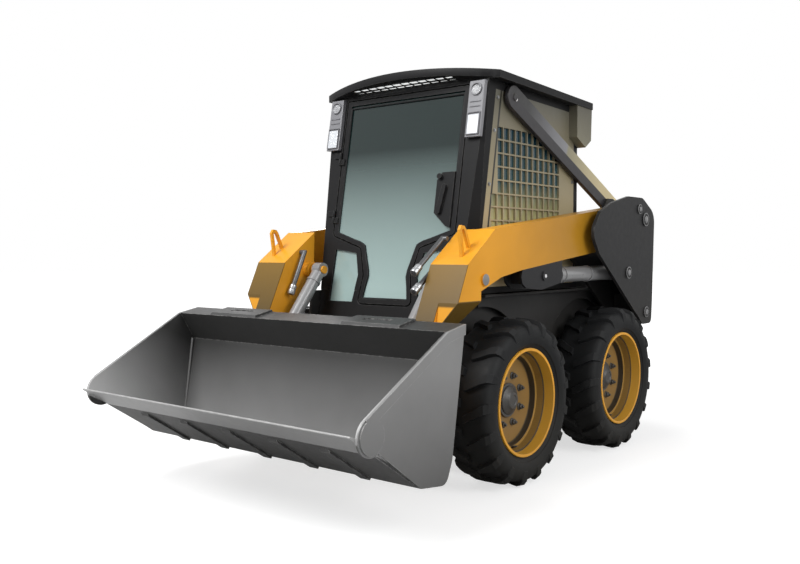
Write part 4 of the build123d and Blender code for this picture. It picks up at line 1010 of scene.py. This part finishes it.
class LOADER_OT_tyres(bpy.types.Operator):
    """Rounded tyres with tread bars that wrap over the shoulders"""

    bl_idname = "loader.tyres"
    bl_label = "Tyres"

    # Distance across the tyre and radius, from the bead over the shoulder to the tread, for one half.
    HALF = [
        (0.104, 0.2505), (0.110, 0.262), (0.116, 0.270), (0.121, 0.272), (0.1235, 0.279),
        (0.1275, 0.290), (0.1295, 0.303), (0.1290, 0.318), (0.1260, 0.333), (0.1190, 0.348),
        (0.1060, 0.3585), (0.0850, 0.3635), (0.0450, 0.3655),
    ]
    BEAD = [(-0.100, 0.2505), (0.100, 0.2505)]
    CROWN = (0.0, 0.366)
    # Sections of a bar: distance across and radius at its top, the same at its root, then its
    # offset round the tread and its half width there.
    BAR = [
        (0.0100, 0.3863, 0.010, 0.3560, 0.000, 0.0150),
        (0.0500, 0.3863, 0.050, 0.3560, 0.018, 0.0165),
        (0.0880, 0.3845, 0.084, 0.3520, 0.040, 0.0190),
        (0.1120, 0.3760, 0.104, 0.3450, 0.052, 0.0205),
        (0.1275, 0.3560, 0.116, 0.3330, 0.056, 0.0205),
        (0.1318, 0.3300, 0.122, 0.3150, 0.056, 0.0180),
        (0.1312, 0.3120, 0.124, 0.3050, 0.056, 0.0140),
    ]
    ROOT_FLARE = 0.006
    # The tyre that these sections are drawn for: its diameter, and the radius of the bars' offsets.
    DRAWN_DIAMETER = 0.773
    TREAD_RADIUS = 0.375

    def execute(self, context):
        count = context.scene.loader_size.tread_bars
        for end, side in WHEELS:
            tag = f"{end}_{side}"
            low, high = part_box(f"tyre_{tag}")
            centre = (low + high) / 2
            grow = (high.z - low.z) / self.DRAWN_DIAMETER
            carcass = bmesh.new()
            profile = [*self.HALF, self.CROWN, *((-x, r) for x, r in reversed(self.HALF)), *self.BEAD]
            add_lathe(carcass, centre, (1, 0, 0), [(x, r * grow) for x, r in profile + profile[:1]], 96)
            pieces = [mesh_of(carcass)]
            for half in (1, -1):
                seed = bmesh.new()
                self.bar(seed, centre, half, grow)
                start = (0.5 if half > 0 else 0.0) * 2 * math.pi / count
                pieces.append(
                    grown(mesh_of(seed), ring_tree(), {
                        "Count": count,
                        "Centre": tuple(centre),
                        "Start Angle": start,
                        "Material": MATERIALS["tyre"],
                    })
                )
            joined = bmesh.new()
            for mesh in pieces:
                joined.from_mesh(mesh)
            tyre = piece_from(f"tyre_tread_{tag}", joined, f"wheel_{tag}", "tyre", smooth=28.0, flip=False)
            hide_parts(f"tyre_{tag}")
        return {"FINISHED"}

    def bar(self, bm, centre, half, grow):
        """One tread bar, from the middle of the tread over the shoulder to the sidewall."""
        rows = []
        for top_x, top, root_x, root, offset, wide in self.BAR:
            foot = wide + self.ROOT_FLARE
            corners = [(top_x, top, wide), (top_x, top, -wide), (root_x, root, -foot), (root_x, root, foot)]
            ring = []
            for x, radius, spread in corners:
                a = (offset + spread) / self.TREAD_RADIUS
                ring.append(
                    bm.verts.new((
                        centre.x + half * x,
                        centre.y + radius * grow * math.sin(a),
                        centre.z + radius * grow * math.cos(a),
                    ))
                )
            rows.append(ring)
        for a, b in zip(rows, rows[1:]):
            for k in range(4):
                bm.faces.new((a[k], a[(k + 1) % 4], b[(k + 1) % 4], b[k]))
        bm.faces.new(rows[0])
        bm.faces.new(rows[-1])


class LOADER_OT_wheel_hardware(bpy.types.Operator):
    """Hub caps, wheel nuts on their studs, and tyre valves"""

    bl_idname = "loader.wheel_hardware"
    bl_label = "Wheel Hardware"

    # Turned profiles: distance along the axis and radius.
    CAP = [
        (0.0083, 0.0), (0.0083, 0.067), (0.014, 0.0665), (0.018, 0.062), (0.024, 0.049),
        (0.031, 0.041), (0.035, 0.037), (0.036, 0.027), (0.032, 0.023), (0.032, 0.0),
    ]
    STUD = [(0.018, 0.0), (0.018, 0.007), (0.027, 0.007), (0.029, 0.005), (0.029, 0.0)]
    VALVE = [(0, 0), (0, 0.006), (0.020, 0.0055), (0.021, 0.004), (0.030, 0.004), (0.031, 0.0)]
    # Outward from the rim's middle, and up from the axle.
    STUD_PLACE = (-0.0038, 0.118)
    VALVE_PLACE = (0.0245, -0.219)
    NUTS = 8

    def execute(self, context):
        for end, side in WHEELS:
            tag, way = f"{end}_{side}", SIDES[side]
            centre = middle_of(f"rim_{tag}")
            body = f"wheel_{tag}"
            cap = bmesh.new()
            add_lathe(cap, centre, (way, 0, 0), self.CAP, 40)
            piece_from(f"hub_cap_{tag}", cap, body, "steel", MATERIALS["hub"], smooth=35.0)
            self.nuts(tag, way, centre, body)
            valve = bmesh.new()
            out, up = self.VALVE_PLACE
            add_lathe(valve, centre + Vector((way * out, 0.0, up)), (way * 0.95, 0.0, 0.3), self.VALVE, 12)
            piece_from(f"tyre_valve_{tag}", valve, body, "plastic", smooth=35.0)
        return {"FINISHED"}

    def nuts(self, tag, way, centre, body):
        """A ring of nuts on washers, each with the end of its stud."""
        width = bpy.context.scene.loader_size.stud_head
        washer = [(0.0, 0.0), (0.0, width * 0.66), (0.004, width * 0.64), (0.006, width * 0.5)]
        wide, worn = width * 0.52, width * 0.43
        nut = [(0.005, 0.0), (0.005, wide), (0.017, wide), (0.019, worn), (0.019, 0.0)]
        out, up = self.STUD_PLACE
        seed = bmesh.new()
        for profile, sides in ((washer, 16), (nut, 6), (self.STUD, 10)):
            add_lathe(seed, centre + Vector((way * out, 0.0, up)), (way, 0, 0), profile, sides)
        ring = grown(mesh_of(seed), ring_tree(), {
            "Count": self.NUTS,
            "Centre": tuple(centre),
            "Start Angle": math.pi / self.NUTS,
            "Material": MATERIALS["hub"],
        })
        dress(f"wheel_nuts_{tag}", ring, body, "steel", MATERIALS["hub"], smooth=30.0)


def cloth_puff(made, cap, frames=20):
    """Swells a closed mesh under a little pressure, as foam does its cover; no point moves past the cap."""
    scene = bpy.context.scene
    start = [v.co.copy() for v in made.data.vertices]
    modifier = made.modifiers.new("puff", "CLOTH")
    cloth = modifier.settings
    cloth.use_pressure = True
    cloth.uniform_pressure_force = 4.0
    cloth.effector_weights.gravity = 0.0
    cloth.quality = 5
    scene.frame_start, scene.frame_end = 1, frames
    modifier.point_cache.frame_start, modifier.point_cache.frame_end = 1, frames
    for step in range(1, frames + 1):
        scene.frame_set(step)
    graph = bpy.context.evaluated_depsgraph_get()
    swollen = made.evaluated_get(graph).to_mesh()
    moved = [v.co.copy() for v in swollen.vertices]
    made.evaluated_get(graph).to_mesh_clear()
    made.modifiers.remove(modifier)
    for vertex, a, b in zip(made.data.vertices, start, moved):
        shift = b - a
        vertex.co = a + (shift if shift.length <= cap else shift * (cap / shift.length))
    scene.frame_set(1)


class LOADER_OT_seat(bpy.types.Operator):
    """Cushions and backrest: puffed pads with sewn channels and piping"""

    bl_idname = "loader.seat"
    bl_label = "Cushions"

    SQUARENESS = 5
    FOAM_CELL = 0.007
    FOAM_SWELL = 0.007
    # Sewn channels run from front to back, or up the backrest, and stop short of the rim.
    CHANNELS = (-0.105, 0.0, 0.105)
    CHANNEL_WIDE = 0.006
    CHANNEL_DEEP = 0.006
    CHANNEL_REACH = 0.86

    def execute(self, context):
        low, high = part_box("seat_pads")
        seam_y = low.y + 0.84 * (high.y - low.y)
        level = Matrix.Identity(4)
        lean = Matrix.Translation((0, seam_y, 1.0)) @ Matrix.Rotation(math.radians(-6.5), 4, "X")
        # Name, how it is turned, half sizes, middle before the turn, and how it lies.
        pads = (
            ("seat_cushion", level, (0.205, 0.185, 0.040), (0.0, low.y + 0.195, low.z + 0.050), "flat"),
            ("seat_backrest", lean, (0.198, 0.034, 0.205), (0.0, 0.024, 0.215), "upright"),
        )
        for name, turn, half, middle, lie in pads:
            place = turn @ Matrix.Translation(middle)
            self.pad(name, place, Vector(half), lie)
            self.piping(name, place, Vector(half), lie)
        return {"FINISHED"}

    def pad(self, name, place, half, lie):
        """One pad: a squarish cushion, meshed evenly, swollen under its cover and sewn in channels."""
        holder = bpy.data.objects.new(name, self.block(name, half, lie))
        bpy.context.scene.collection.objects.link(holder)
        remesh = holder.modifiers.new("even", "REMESH")
        remesh.mode = "VOXEL"
        remesh.voxel_size = self.FOAM_CELL
        graph = bpy.context.evaluated_depsgraph_get()
        even = bpy.data.meshes.new_from_object(holder.evaluated_get(graph), depsgraph=graph)
        holder.modifiers.remove(remesh)
        holder.data = even
        cloth_puff(holder, self.FOAM_SWELL)
        self.sew(even, half, lie)
        even.transform(place)
        bpy.data.objects.remove(holder)
        pad = dress(name, even, "chassis", "seat_vinyl", smooth=60.0)
        smoother = pad.modifiers.new("smooth", "SUBSURF")
        smoother.levels = smoother.render_levels = 1
        if lie == "flat":
            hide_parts("seat_pads")

    def block(self, name, half, lie):
        """A squarish block, a little thinner towards its rim."""
        bm = bmesh.new()
        bmesh.ops.create_cube(bm, size=2.0)
        bmesh.ops.subdivide_edges(bm, edges=bm.edges, cuts=9, use_grid_fill=True)
        n = self.SQUARENESS
        for vertex in bm.verts:
            c = vertex.co
            c /= (abs(c.x) ** n + abs(c.y) ** n + abs(c.z) ** n) ** (1 / n)
            thin = 1.0 - 0.10 * (c.x * c.x + (c.y * c.y if lie == "flat" else c.z * c.z)) ** 2
            c.x, c.y, c.z = c.x * half.x, c.y * half.y, c.z * half.z
            if lie == "flat":
                c.z *= thin
            else:
                c.y *= thin
        mesh = bpy.data.meshes.new(name)
        bm.to_mesh(mesh)
        bm.free()
        return mesh

    def sew(self, mesh, half, lie):
        """Presses the sewn channels into the side that is sat on or leant on."""
        across = 1 if lie == "flat" else 2
        for vertex in mesh.vertices:
            c = vertex.co
            rim = max(abs(c.x) / half.x, abs(c[across]) / half[across])
            if rim >= self.CHANNEL_REACH:
                continue
            groove = max(math.exp(-(((c.x - line) / self.CHANNEL_WIDE) ** 2)) for line in self.CHANNELS)
            depth = self.CHANNEL_DEEP * groove
            if lie == "flat" and c.z > 0:
                c.z -= depth
            elif lie == "upright" and c.y < 0:
                c.y += depth

    def piping(self, name, place, half, lie):
        """A thin welt round the pad's rim."""
        across = half.y if lie == "flat" else half.z
        inset, rise, turns, n = 0.985, 0.62, 64, self.SQUARENESS
        loop = []
        for k in range(turns):
            a = 2 * math.pi * k / turns
            u, v = math.cos(a), math.sin(a)
            scale = (abs(u) ** n + abs(v) ** n) ** (-1 / n)
            u, v = u * scale * half.x * inset, v * scale * across * inset
            spot = (u, v, half.z * rise) if lie == "flat" else (u, -half.y * rise, v)
            loop.append(place @ Vector(spot))
        welt = bmesh.new()
        add_tube(welt, loop + loop[:1], 0.0035, 8, caps=False)
        piece_from(f"{name}_piping", welt, "chassis", "plastic", smooth=60.0)


class LOADER_OT_cab_interior(bpy.types.Operator):
    """Joysticks with boots and grips, armrest pads, pedals, floor mat and lap bar"""

    bl_idname = "loader.cab_interior"
    bl_label = "Cab Interior"

    CONSOLE_X = 0.345
    BOOT_FOLDS = 5
    # Height up the grip and radius.
    GRIP = [
        (0.0, 0.0), (0.0, 0.015), (0.020, 0.017), (0.050, 0.019), (0.078, 0.023), (0.096, 0.024),
        (0.108, 0.019), (0.112, 0.0),
    ]
    # The armrest pad from the side, y and z.
    ARMREST = [(0.10, 1.041), (0.36, 1.041), (0.34, 1.078), (0.15, 1.082), (0.11, 1.066)]
    ARMREST_HALF = 0.052

    def execute(self, context):
        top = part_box("consoles")[1].z
        for tag, way in SIDES.items():
            x = way * self.CONSOLE_X
            stick = bmesh.new()
            add_lathe(stick, (x, 0.020, top - 0.190), (0, 0, 1), self.boot(), 28)
            add_lathe(stick, (x, 0.012, top - 0.108), (0, 0.10, 1), self.GRIP, 24)
            piece_from(f"joystick_{tag}", stick, "chassis", "plastic", smooth=50.0)
            rest = bmesh.new()
            add_prism(rest, self.ARMREST, "X", x - self.ARMREST_HALF, x + self.ARMREST_HALF)
            made = piece_from(f"armrest_pad_{tag}", rest, "chassis", "seat_vinyl", smooth=40.0)
            round_edges(made, 0.010, 3)
        self.pedals()
        self.lap_bar()
        mat = bmesh.new()
        add_box(mat, (-0.27, -0.40, 0.6705), (0.27, 0.06, 0.676))
        piece_from("floor_mat", mat, "chassis", "plastic", smooth=None)
        return {"FINISHED"}

    def boot(self):
        """The folded boot's profile: height and radius."""
        folds = [(0.000, 0.046)]
        for k in range(self.BOOT_FOLDS):
            folds += [(0.006 + k * 0.011, 0.042 - k * 0.005), (0.012 + k * 0.011, 0.036 - k * 0.005)]
        return folds + [(0.064, 0.0)]

    def pedals(self):
        """Two ribbed pedals, tipped towards the operator's feet."""
        pedals = bmesh.new()
        for x in (-0.17, 0.17):
            turn = Matrix.Translation((x, -0.30, 0.71)) @ Matrix.Rotation(math.radians(-52), 4, "X")
            add_box(pedals, (-0.055, -0.095, -0.006), (0.055, 0.095, 0.006), turn)
            for k in range(7):
                y = -0.075 + k * 0.025
                add_box(pedals, (-0.048, y - 0.004, 0.006), (0.048, y + 0.004, 0.011), turn)
        piece_from("foot_pedals", pedals, "chassis", "plastic", smooth=30.0)

    def lap_bar(self):
        """A bar from each side of the backrest that meets over the lap."""
        bar = bmesh.new()
        for way in SIDES.values():
            path = [(way * 0.265, 0.36, 1.20), (way * 0.268, 0.20, 1.19), (way * 0.262, 0.06, 1.15),
                    (way * 0.235, -0.005, 1.10), (way * 0.14, -0.035, 1.07), (0.0, -0.038, 1.065)]
            add_tube(bar, curve_points(path, 8), 0.013, 14)
        piece_from("lap_bar", bar, "chassis", "cab_dark", smooth=50.0)


def on_front(x, z, out=0.0):
    """A point on the cab's leaning front face, or a distance in front of it."""
    n = math.hypot(1.0, LEAN)
    return Vector((x, FRONT_Y0 + LEAN * z - out / n, z + out * LEAN / n))


class LOADER_OT_cab_trim(bpy.types.Operator):
    """Window gaskets, panel screws, side panes and the opal panes in the roof's cells"""

    bl_idname = "loader.cab_trim"
    bl_label = "Cab Trim"

    # The door's glass, one half: x and z, from its top corner round the leg room to its foot.
    DOOR = [
        (0.366, 1.842), (0.366, 1.182), (0.345, 1.166), (0.205, 1.128), (0.172, 1.112),
        (0.130, 0.985), (0.126, 0.955), (0.150, 0.852), (0.158, 0.842),
    ]
    REAR_WINDOW = [(-0.315, 1.255), (0.315, 1.255), (0.315, 1.595), (-0.315, 1.595)]
    # Each row of roof cells: middle y, depth, height of the pane's underside.
    CELL_ROWS = [(-0.3285, 0.027, 1.9235), (-0.299, 0.016, 1.9175), (-0.110, 0.050, 1.8955)]
    CELL_COLUMNS = 12
    CELL_STEP = 0.054
    CELL_HALF = 0.0218

    def execute(self, context):
        self.gaskets()
        self.screws()
        self.roof_lights()
        self.side_panes()
        return {"FINISHED"}

    def gaskets(self):
        """Round rubber seals on the door's glass and the rear window."""
        door = [on_front(x, z, -0.006) for x, z in self.DOOR + [(-x, z) for x, z in reversed(self.DOOR)]]
        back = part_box("cab_glass")[1].y
        rear = [Vector((x, back, z)) for x, z in self.REAR_WINDOW]
        for name, body, loop, radius in (
            ("door_glass_gasket", "cab_door", door, 0.006), ("rear_glass_gasket", "chassis", rear, 0.008),
        ):
            seal = bmesh.new()
            add_tube(seal, loop + loop[:1], radius, 8, caps=False)
            piece_from(name, seal, body, "tyre", smooth=60.0)

    def screws(self):
        """Screws up the front strip, up the rear edge and along the foot of each side panel."""
        strip = [(FRONT_Y0 + LEAN * z + 0.088, z) for z in (0.94, 1.14, 1.40, 1.66, 1.82)]
        rear = [(0.540, z) for z in (0.94, 1.20, 1.46, 1.72)]
        foot = [(y, 0.935) for y in (-0.05, 0.12, 0.30)]
        spots = [
            (Vector((way * PANEL_X, y, z)), Vector((way, 0, 0)))
            for way in SIDES.values()
            for y, z in strip + rear + foot
        ]
        bolts("cab_panel_screws", spots, "chassis", bpy.context.scene.loader_size.panel_screw, 0.006)

    def side_panes(self):
        """A pane behind each side screen, cut along the leaning seam."""
        panes = bmesh.new()
        top, foot, rear = 1.690, 0.905, 0.402
        outline = [(rear, foot), (rear, top), (PANE_Y + LEAN * top, top), (PANE_Y + LEAN * foot, foot)]
        for way in SIDES.values():
            low, high = sorted((way * 0.482, way * 0.490))
            add_prism(panes, outline, "X", low, high)
        piece_from("side_panes", panes, "chassis", "glass", MATERIALS["side_glass"], smooth=None)

    def roof_lights(self):
        """Opal panes just inside the cells' lower ends."""
        panes = bmesh.new()
        first = -self.CELL_STEP * (self.CELL_COLUMNS - 1) / 2
        for y, depth, z in self.CELL_ROWS:
            half = depth / 2 - 0.0002
            left, right = first - self.CELL_HALF, first + self.CELL_HALF
            seed = bmesh.new()
            add_box(seed, (left, y - half, z), (right, y + half, z + 0.004))
            row = grown(mesh_of(seed), row_tree(), {
                "Columns": self.CELL_COLUMNS,
                "Rows": 1,
                "Column Step": (self.CELL_STEP, 0, 0),
                "Row Step": (0, 0, 0),
                "Material": MATERIALS["opal"],
            })
            panes.from_mesh(row)
        piece_from("roof_light_panes", panes, "chassis", "lens", MATERIALS["opal"], smooth=None, flip=False)


class LOADER_OT_lamps(bpy.types.Operator):
    """Bezels round the work lamps, and two ribs between them"""

    bl_idname = "loader.lamps"
    bl_label = "Lamps"

    LAMP_X = 0.452
    BOX_LAMP = (1.628, 1.732, 0.034)
    ROUND_LAMP = (1.845, 0.028)
    RIBS = (1.762, 1.786)
    PROUD = 0.030

    def execute(self, context):
        bezels = bmesh.new()
        for way in SIDES.values():
            x = way * self.LAMP_X
            low, high, half = self.BOX_LAMP
            box = [(x - half, low), (x + half, low), (x + half, high), (x - half, high)]
            middle, radius = self.ROUND_LAMP
            turns = [k * math.pi / 16 for k in range(32)]
            ring = [(x + radius * math.cos(a), middle + radius * math.sin(a)) for a in turns]
            for outline in (box, ring):
                points = [on_front(u, z, self.PROUD) for u, z in outline]
                add_tube(bezels, points + points[:1], 0.0035, 8, caps=False)
            for z in self.RIBS:
                add_tube(bezels, [on_front(x + end, z, 0.027) for end in (-0.030, 0.030)], 0.003, 8)
        piece_from("lamp_bezels", bezels, "chassis", "lamp_body", smooth=60.0)
        return {"FINISHED"}


class LOADER_OT_pins(bpy.types.Operator):
    """Pin heads on the towers, and pin ends on the braces, the clevises and the arms"""

    bl_idname = "loader.pins"
    bl_label = "Pins"

    # Piece, body, look, then the x it stands on, y, z and radius.
    FACES = [
        ("brace_pin_ends", "chassis", "pin_white", (0.5341, -0.100, 1.822, 0.010)),
        ("clevis_pin_ends", "lift_arms", "pin_white", (0.6711, -0.045, 0.960, 0.009)),
        ("arm_pin_ends", "lift_arms", "pin_face", (0.6731, -0.575, 0.955, 0.0255)),
    ]
    # Y, z and radius of the pins through a tower: arm, lift cylinder, brace and lower tie.
    TOWER = [(0.994, 1.263, 0.034), (0.769, 0.962, 0.029), (0.913, 1.319, 0.024), (1.013, 0.731, 0.027)]
    # Turned profiles: height off the plate, and radius as a share of the pin's.
    HEAD = [
        (0.0, 0.0), (0.0, 1.12), (0.003, 1.12), (0.004, 0.86), (0.002, 0.80),
        (0.002, 0.62), (0.006, 0.56), (0.0075, 0.42), (0.0075, 0.0),
    ]
    END = [(0.0, 0.0), (0.0, 1.0), (0.002, 1.0), (0.003, 0.9), (0.003, 0.0)]

    def execute(self, context):
        heads = bmesh.new()
        seat_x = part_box("towers")[1].x - 0.004
        for way in SIDES.values():
            for y, z, radius in self.TOWER:
                profile = [(out, share * radius) for out, share in self.HEAD]
                add_lathe(heads, (way * seat_x, y, z), (way, 0, 0), profile, 36)
        piece_from("tower_pin_heads", heads, "chassis", "steel", MATERIALS["pin_face"], smooth=30.0)
        for name, body, material, (x, y, z, radius) in self.FACES:
            faces = bmesh.new()
            profile = [(out, share * radius) for out, share in self.END]
            for way in SIDES.values():
                add_lathe(faces, (way * x, y, z), (way, 0, 0), profile, 28)
            piece_from(name, faces, body, "steel", MATERIALS[material], smooth=30.0)
        return {"FINISHED"}


class LOADER_OT_rear(bpy.types.Operator):
    """Rear door latch and hinges, hood louvres, and the radiator behind the grille"""

    bl_idname = "loader.rear"
    bl_label = "Rear"

    FIN_STEP = 0.010
    # Louvres on the hood: one from the side, then how many, how far apart and how long.
    VENT = [(0.30, -0.001), (0.336, -0.001), (0.336, 0.003), (0.322, 0.013), (0.312, 0.013), (0.30, 0.003)]
    VENTS = 8
    VENT_STEP = 0.060
    VENT_ENDS = (-0.30, -0.05)
    VENT_ROW_STEP = 0.35

    def execute(self, context):
        low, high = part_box("rear_door")
        self.radiator(low, high)
        self.door_fittings(low, high)
        self.louvres()
        return {"FINISHED"}

    def radiator(self, low, high):
        """A core with upright fins, just inside the grille's box from low to high."""
        core = bmesh.new()
        back, face, front = low.y - 0.030, low.y - 0.012, low.y - 0.006
        add_box(core, (low.x + 0.06, back, low.z + 0.03), (high.x - 0.06, face, high.z - 0.03))
        piece_from("radiator_core", core, "chassis", "plastic", smooth=None)
        fin = bmesh.new()
        add_box(fin, (low.x + 0.065, face, low.z + 0.04), (low.x + 0.068, front, high.z - 0.04))
        fins = grown(mesh_of(fin), row_tree(), {
            "Columns": int((high.x - low.x - 0.13) / self.FIN_STEP),
            "Rows": 1,
            "Column Step": (self.FIN_STEP, 0, 0),
            "Row Step": (0, 0, 0),
            "Material": MATERIALS["steel"],
        })
        dress("radiator_fins", fins, "chassis", "steel", smooth=None)

    def door_fittings(self, low, high):
        """Two hinges and a latch with a pull on the door's outer face."""
        hinges = bmesh.new()
        for z in (low.z + 0.08, high.z - 0.08):
            add_lathe(hinges, (-0.390, high.y + 0.006, z - 0.035), (0, 0, 1),
                      [(0, 0), (0, 0.009), (0.070, 0.009), (0.070, 0)], 18)
            add_box(hinges, (-0.372, high.y + 0.0002, z - 0.030), (-0.320, high.y + 0.005, z + 0.030))
        piece_from("rear_door_hinges", hinges, "rear_door", "steel", smooth=40.0)
        latch = bmesh.new()
        middle = (low.z + high.z) / 2
        add_box(latch, (0.345, high.y + 0.0002, middle - 0.055), (0.378, high.y + 0.008, middle + 0.055))
        bows = [(0.006, -0.040), (0.030, -0.022), (0.030, 0.022), (0.006, 0.040)]
        pull = [(0.362, high.y + out, middle + up) for out, up in bows]
        add_tube(latch, curve_points(pull, 6), 0.006, 10)
        piece_from("rear_door_latch", latch, "rear_door", "steel", smooth=40.0)

    def louvres(self):
        """Two rows of louvres that follow the hood's slope."""
        low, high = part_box("hood")
        thick = 0.025
        slope = math.atan2(low.z + thick - high.z, high.y - low.y)
        turn = Matrix.Translation((0, low.y, high.z)) @ Matrix.Rotation(slope, 4, "X")
        vent = bmesh.new()
        add_prism(vent, self.VENT, "X", *self.VENT_ENDS)
        vent.transform(turn)
        vents = grown(mesh_of(vent), row_tree(), {
            "Columns": self.VENTS,
            "Rows": 2,
            "Column Step": tuple(turn.to_3x3() @ Vector((0, self.VENT_STEP, 0))),
            "Row Step": (self.VENT_ROW_STEP, 0, 0),
            "Material": MATERIALS["yellow_paint"],
        })
        dress("hood_louvres", vents, "hood", "yellow_paint", smooth=35.0)


class LOADER_OT_fittings(bpy.types.Operator):
    """Couplings on the ends of the arms' hydraulic lines"""

    bl_idname = "loader.fittings"
    bl_label = "Hydraulic Fittings"

    # Each line's end, and the way it points there.
    ENDS = [
        ((0.437, -0.790, 0.982), (0.0, -0.810, -0.587)),
        ((0.437, -0.790, 0.900), (0.0, -0.832, -0.555)),
        ((-0.437, -0.690, 0.860), (0.0, -0.422, -0.907)),
    ]
    LENGTH = 0.050
    # Distance along the line and radius, from the collar to the socket in the end.
    PROFILE = [
        (0.0, 0.0125), (0.0, 0.0175), (0.020, 0.0175), (0.022, 0.0165), (0.024, 0.0185),
        (0.046, 0.0185), (0.049, 0.0165), (0.0495, 0.009), (0.042, 0.009), (0.042, 0.0),
    ]

    def execute(self, context):
        couplings = bmesh.new()
        for place, way in self.ENDS:
            ahead = Vector(way).normalized()
            add_lathe(couplings, Vector(place) - ahead * self.LENGTH, ahead, self.PROFILE, 24)
        piece_from("line_couplings", couplings, "lift_arms", "steel", smooth=35.0)
        return {"FINISHED"}


class LOADER_OT_bucket(bpy.types.Operator):
    """Weld beads along the bucket's seams"""

    bl_idname = "loader.bucket"
    bl_label = "Bucket Detail"

    # Where the back and the floor meet a side plate: y and z, from the top of the back to the lip.
    SEAM = [(-1.012, 0.640), (-1.060, 0.300), (-1.092, 0.205), (-1.241, 0.2175), (-1.480, 0.3735)]
    RIPPLE = 0.006
    BEAD_RADIUS = 0.0055
    BEAD_RISE = 0.0012

    def execute(self, context):
        seam_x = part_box("bucket")[1].x - 0.019
        beads = bmesh.new()
        for way in SIDES.values():
            path = []
            for (y0, z0), (y1, z1) in zip(self.SEAM, self.SEAM[1:]):
                steps = max(2, int(math.hypot(y1 - y0, z1 - z0) / self.RIPPLE))
                path += [(way * seam_x, y0 + (y1 - y0) * k / steps, z0 + (z1 - z0) * k / steps)
                         for k in range(steps)]
            self.bead(beads, path)
        piece_from("bucket_welds", beads, "attachment", "bucket_steel", smooth=60.0)
        return {"FINISHED"}

    def bead(self, bm, path):
        """A rippled fillet weld along a path."""
        rings = []
        for i, point in enumerate(path):
            ahead = (Vector(path[min(i + 1, len(path) - 1)]) - Vector(path[max(i - 1, 0)])).normalized()
            side = ahead.orthogonal().normalized()
            up = ahead.cross(side)
            radius = self.BEAD_RADIUS + self.BEAD_RISE * (i % 2)
            rings.append([bm.verts.new(Vector(point) + (side * math.cos(a) + up * math.sin(a)) * radius)
                          for a in (k * math.pi / 3 for k in range(6))])
        for a, b in zip(rings, rings[1:]):
            for k in range(6):
                bm.faces.new((a[k], a[(k + 1) % 6], b[(k + 1) % 6], b[k]))


class LOADER_PT_panel(bpy.types.Panel):
    """Lists the steps that dress the loader"""

    bl_label = "Skid Steer Loader"
    bl_idname = "LOADER_PT_panel"
    bl_space_type = "VIEW_3D"
    bl_region_type = "UI"
    bl_category = "Loader"

    def draw(self, context):
        for settings in (context.scene.loader_paint, context.scene.loader_size):
            box = self.layout.box()
            for name in settings.__annotations__:
                box.prop(settings, name)
        for operator in OPERATORS:
            self.layout.operator(operator.bl_idname, text=operator.bl_label)


OPERATORS = (
    LOADER_OT_stage,
    LOADER_OT_finishes,
    LOADER_OT_tyres,
    LOADER_OT_wheel_hardware,
    LOADER_OT_seat,
    LOADER_OT_cab_interior,
    LOADER_OT_cab_trim,
    LOADER_OT_lamps,
    LOADER_OT_pins,
    LOADER_OT_rear,
    LOADER_OT_fittings,
    LOADER_OT_bucket,
)
CLASSES = (LoaderPaintSettings, LoaderSizeSettings, *OPERATORS, LOADER_PT_panel)


def register():
    for item in CLASSES:
        bpy.utils.register_class(item)
    bpy.types.Scene.loader_paint = PointerProperty(type=LoaderPaintSettings)
    bpy.types.Scene.loader_size = PointerProperty(type=LoaderSizeSettings)


def unregister():
    del bpy.types.Scene.loader_paint
    del bpy.types.Scene.loader_size
    for item in reversed(CLASSES):
        bpy.utils.unregister_class(item)


def main():
    register()
    for operator in OPERATORS:
        group, name = operator.bl_idname.split(".")
        getattr(getattr(bpy.ops, group), name)()


if __name__ == "__main__":
    main()
